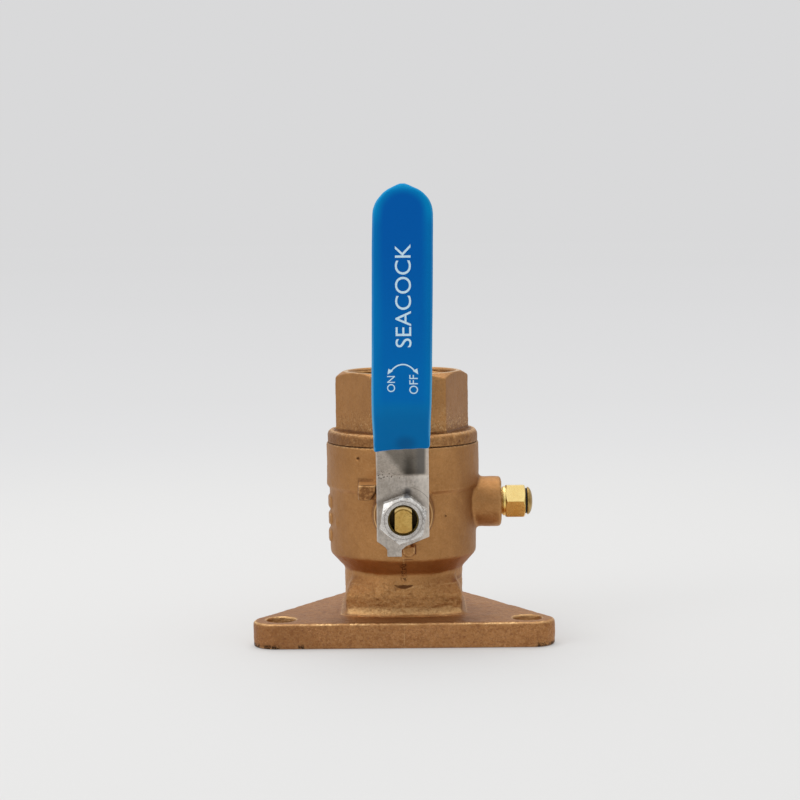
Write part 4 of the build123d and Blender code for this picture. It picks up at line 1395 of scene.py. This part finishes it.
def inner_ring(h):
    """Points of the inner wall that hugs the steel at height h."""
    distance, lean = plate_path(h)
    half_width, middle = sleeve_span(h)
    wall = 0.24 * MM + 0.7 * MM * float(smoothstep(SLEEVE_LOW, SLEEVE_LOW + 16 * MM, h))
    return [(middle + across, -distance - math.cos(lean) * through,
             h + STEM_Z - math.sin(lean) * through)
            for across, through in section(max(half_width - wall, LEAST_HALF_WIDTH), 1.53 * MM,
                                           corner=0.35 * MM, crown=0.0)]


def make_sleeve():
    verts, faces = [], []

    def add_ring(points):
        first = len(verts)
        verts.extend(points)
        return list(range(first, first + len(points)))

    def stitch(rings, flip=False):
        """Joins the rings in order and caps the last one."""
        order = -1 if flip else 1
        for a, b in zip(rings[:-1], rings[1:]):
            n = len(a)
            for k in range(n):
                faces.append((a[k], a[(k + 1) % n], b[(k + 1) % n], b[k])[::order])
        faces.append(tuple(rings[-1])[::order])

    # rows crowd together towards the tip
    rows = SLEEVE_LOW + (SLEEVE_TIP - SLEEVE_LOW) * (1 - (1 - np.linspace(0, 1, 190)) ** 1.35)
    outer = [add_ring(outer_ring(SLEEVE_LOW + dh * MM, dw * MM, dt * MM)) for dh, dw, dt in LIP_RINGS]
    outer += [add_ring(outer_ring(h, 0.0, 0.0)) for h in rows[1:]]
    stitch(outer)
    inner_rows = np.linspace(SLEEVE_LOW + 0.8 * MM, SLEEVE_TIP - 2.2 * MM, 60)
    stitch([outer[0]] + [add_ring(inner_ring(h)) for h in inner_rows], flip=True)
    o = mesh_from("grip_vinyl", verts, faces)

    # the hand-dipped skin is never quite flat
    co, normal = coords(o.data), normals(o.data)
    foot = SLEEVE_LOW + STEM_Z
    fade = smoothstep(foot + 0.002, foot + 0.012, co[:, 2])
    co += normal * (0.00006 * layered_noise(co, size=0.016, octaves=2, seed=71) * fade)[:, None]
    slack = 0.0006
    push_lo = np.array(GRIP_LO) - slack
    push_hi = np.array(GRIP_HI) + np.array((slack, slack, 0.0))
    put(o.data, np.minimum(np.maximum(co, push_lo), push_hi))
    o.data.shade_smooth()
    return o


place(make_sleeve(), M_VINYL, "handle", slot="blue_vinyl", replaces="grip_sleeve")


# ================================================================== print
PRINT_FRONT = -1e-4                # y that marks the front face of flat print


def print_on_grip(o, lift):
    """Bends flat print, drawn in (x, z) with its thickness along y, on to the sleeve's front."""
    longest_edge, thickness = 0.0012, 0.00003
    with edited(o.data) as bm:
        bmesh.ops.triangulate(bm, faces=bm.faces)
        for _ in range(4):
            long_edges = [e for e in bm.edges if e.calc_length() > longest_edge]
            if not long_edges:
                break
            bmesh.ops.subdivide_edges(bm, edges=long_edges, cuts=1)
            bmesh.ops.triangulate(bm, faces=bm.faces)
    co = coords(o.data)
    for point in co:
        front = sleeve_front(point[0], point[2] - STEM_Z)
        point[1] = -(front + lift) - (thickness if point[1] < 0 else 0.0)
    put(o.data, co)
    o.data.shade_flat()
    place(o, M_INK, "handle")


def lettering(name, text, foot_x, z0, z1, capital):
    """Print that reads upwards: its foot on foot_x, from z0 to z1, capitals this tall."""
    curve = bpy.data.curves.new(name, "FONT")
    curve.body = text
    curve.extrude = 0.02
    curve.resolution_u = 6
    source = link(name + "_src", curve)
    bpy.context.view_layer.update()
    mesh = evaluated_mesh(source)
    bpy.data.objects.remove(source)
    co = coords(mesh)
    lo, hi = co.min(0), co.max(0)
    across = co[:, 1] / max(hi[1], 1e-6)
    along = (co[:, 0] - lo[0]) / (hi[0] - lo[0])
    laid = np.empty_like(co)
    laid[:, 0] = foot_x - across * capital
    laid[:, 1] = np.where(co[:, 2] > 0, PRINT_FRONT, 0.0)
    laid[:, 2] = z0 + along * (z1 - z0)
    put(mesh, laid)
    print_on_grip(link(name, mesh), lift=0.00004)


def line_outline(points, half_width):
    """The closed (x, z) outline of a drawn line."""
    left, right = [], []
    for i, point in enumerate(points):
        run = points[min(i + 1, len(points) - 1)] - points[max(i - 1, 0)]
        run = run / np.linalg.norm(run)
        side = np.array((-run[1], run[0]))
        left.append(point + side * half_width)
        right.append(point - side * half_width)
    return left + right[::-1]


def arrow(name, outlines):
    """Flat print made of several closed (x, z) outlines."""
    verts, faces = [], []
    for outline in outlines:
        first, count = len(verts), len(outline)
        verts += [(x, y, z) for y in (PRINT_FRONT, 0.0) for x, z in outline]
        faces.append(tuple(range(first, first + count)))
        faces.append(tuple(first + count + j for j in range(count))[::-1])
        for j in range(count):
            after = (j + 1) % count
            faces.append((first + j, first + count + j, first + count + after, first + after))
    print_on_grip(mesh_from(name, verts, faces), lift=0.000045)


lettering("print_on", "ON", foot_x=-0.0030, z0=0.1158, z1=0.1225, capital=0.0033)
lettering("print_off", "OFF", foot_x=0.0066, z0=0.1149, z1=0.1229, capital=0.0036)
lettering("print_word", "SEACOCK", foot_x=0.0040, z0=0.1345, z1=0.1775, capital=0.0066)
# an arch whose ends drop away from its crown, with a head at each end
ARCH_X, ARCH_TOP, ARCH_HALF_SPAN, ARCH_DROP = 0.00035, 0.1273, 0.0047, 0.0024
arch_steps = [-1 + 2 * k / 24 for k in range(25)]
arch = [np.array((ARCH_X + u * ARCH_HALF_SPAN, ARCH_TOP - ARCH_DROP * abs(u) ** 2.1))
        for u in arch_steps]
arrow("print_arrow", [
    line_outline(arch, half_width=0.00028),
    [(-0.0061, 0.1231), (-0.0057, 0.1256), (-0.0038, 0.1246)],
    [(0.0068, 0.1231), (0.0064, 0.1256), (0.0045, 0.1246)]])

# ================================================================== floor
PAPER = 0.752                      # the paper's own lightness
GLOW_REACH = 12.0                  # distance over which the far glow is laid out
# the far glow: (fraction of GLOW_REACH, red and green, blue)
GLOW = ((0.0, 0.822, 0.822), (0.025, 0.815, 0.815), (0.045, 0.795, 0.797), (0.075, 0.765, 0.770),
        (0.11, 0.745, 0.750), (0.20, 0.725, 0.732), (0.40, 0.708, 0.715), (1.0, 0.697, 0.703))


def paper(name):
    """Pale paper: near the object lit paper with a quarter of its brightness a glow that lightens the
    shadow, far away an even glow that falls to grey.
    """
    m = Material(name)
    x, y, _ = m.position.xyz()
    distance = length(x, y)
    m.colour = m.mix(m.noise(size=0.25, detail=2).band(off=0.2, on=0.8, high=0.02),
                     (PAPER, PAPER, PAPER * 0.998, 1.0), (0.9, 0.9, 0.9, 1.0))
    glow = m.ramp(distance / GLOW_REACH, [(at, (grey, grey, blue, 1.0)) for at, grey, blue in GLOW])
    return m.finish(m.add("ShaderNodeMixShader", {
        0: distance.band(off=0.30, on=0.95, low=0.26),
        1: m.principled(roughness=0.95, specular=0.05),
        2: m.add("ShaderNodeEmission", {0: glow})}))


FLOOR_HALF = 60
floor_mesh = bpy.data.meshes.new("floor")
floor_mesh.from_pydata([(-FLOOR_HALF, -FLOOR_HALF, 0), (FLOOR_HALF, -FLOOR_HALF, 0),
                        (FLOOR_HALF, FLOOR_HALF, 0), (-FLOOR_HALF, FLOOR_HALF, 0)],
                       [], [(0, 1, 2, 3)])
floor = link("floor", floor_mesh)
floor.location = (0, 0, -0.00002)
floor.data.materials.append(paper("paper"))

# ======================================================== light and camera
# how bright the room is: from the front, the back and overhead, and the change towards +X
FRONT, BACK, OVERHEAD, RIGHTWARD = 0.40, 0.74, 0.95, -0.06


def studio(world):
    """A soft room for lighting, and plain grey where the camera sees past the floor."""
    world.use_nodes = True
    nodes = Nodes(world.node_tree)
    x, y, z = nodes.add("ShaderNodeTexCoord", output="Generated").xyz()
    walls = y.band(off=-0.9, on=0.9, low=FRONT, high=BACK) + x * RIGHTWARD
    dome = z.band(off=0.10, on=0.95)
    level = walls * (1.0 - dome) + dome * OVERHEAD
    room = nodes.add("ShaderNodeBackground", {0: (1.0, 0.995, 0.985, 1), 1: level})
    backdrop = nodes.add("ShaderNodeBackground", {0: (0.694, 0.694, 0.700, 1)})
    seen = nodes.add("ShaderNodeLightPath", output="Is Camera Ray")
    nodes.node("ShaderNodeOutputWorld",
               {0: nodes.add("ShaderNodeMixShader", {0: seen, 1: room, 2: backdrop})})


def area(name, location, target, width, depth, power):
    light = bpy.data.lights.new(name, "AREA")
    light.shape = "RECTANGLE"
    light.size = width
    light.size_y = depth
    light.energy = power
    o = link(name, light)
    o.location = location
    o.rotation_euler = (Vector(target) - Vector(location)).to_track_quat("-Z", "Y").to_euler()


scene.world = bpy.data.worlds.new("studio")
studio(scene.world)
area("key_top", location=(-0.15, 0.30, 1.3), target=(0, 0, 0.06), width=1.3, depth=1.0, power=5.0)
area("left_box", location=(-1.2, -0.8, 0.9), target=(0, 0, 0.08), width=0.8, depth=0.8, power=3.0)

CAMERA_PLACE = (-0.000952, -0.895980, 0.179955)
CAMERA_DOWN, CAMERA_ROLL = 4.6998, -0.5376       # degrees
camera_data = bpy.data.cameras.new("cam")
camera = link("cam", camera_data)
scene.camera = camera
camera_data.sensor_width = 36.0
camera_data.lens = 88.45722
camera_data.clip_start = 0.01
camera_data.clip_end = 200
camera.matrix_world = (Matrix.Translation(CAMERA_PLACE)
                       @ Matrix.Rotation(math.radians(90 - CAMERA_DOWN), 4, "X")
                       @ Matrix.Rotation(math.radians(CAMERA_ROLL), 4, "Z"))
scene.view_settings.view_transform = "Standard"
scene.view_settings.look = "None"
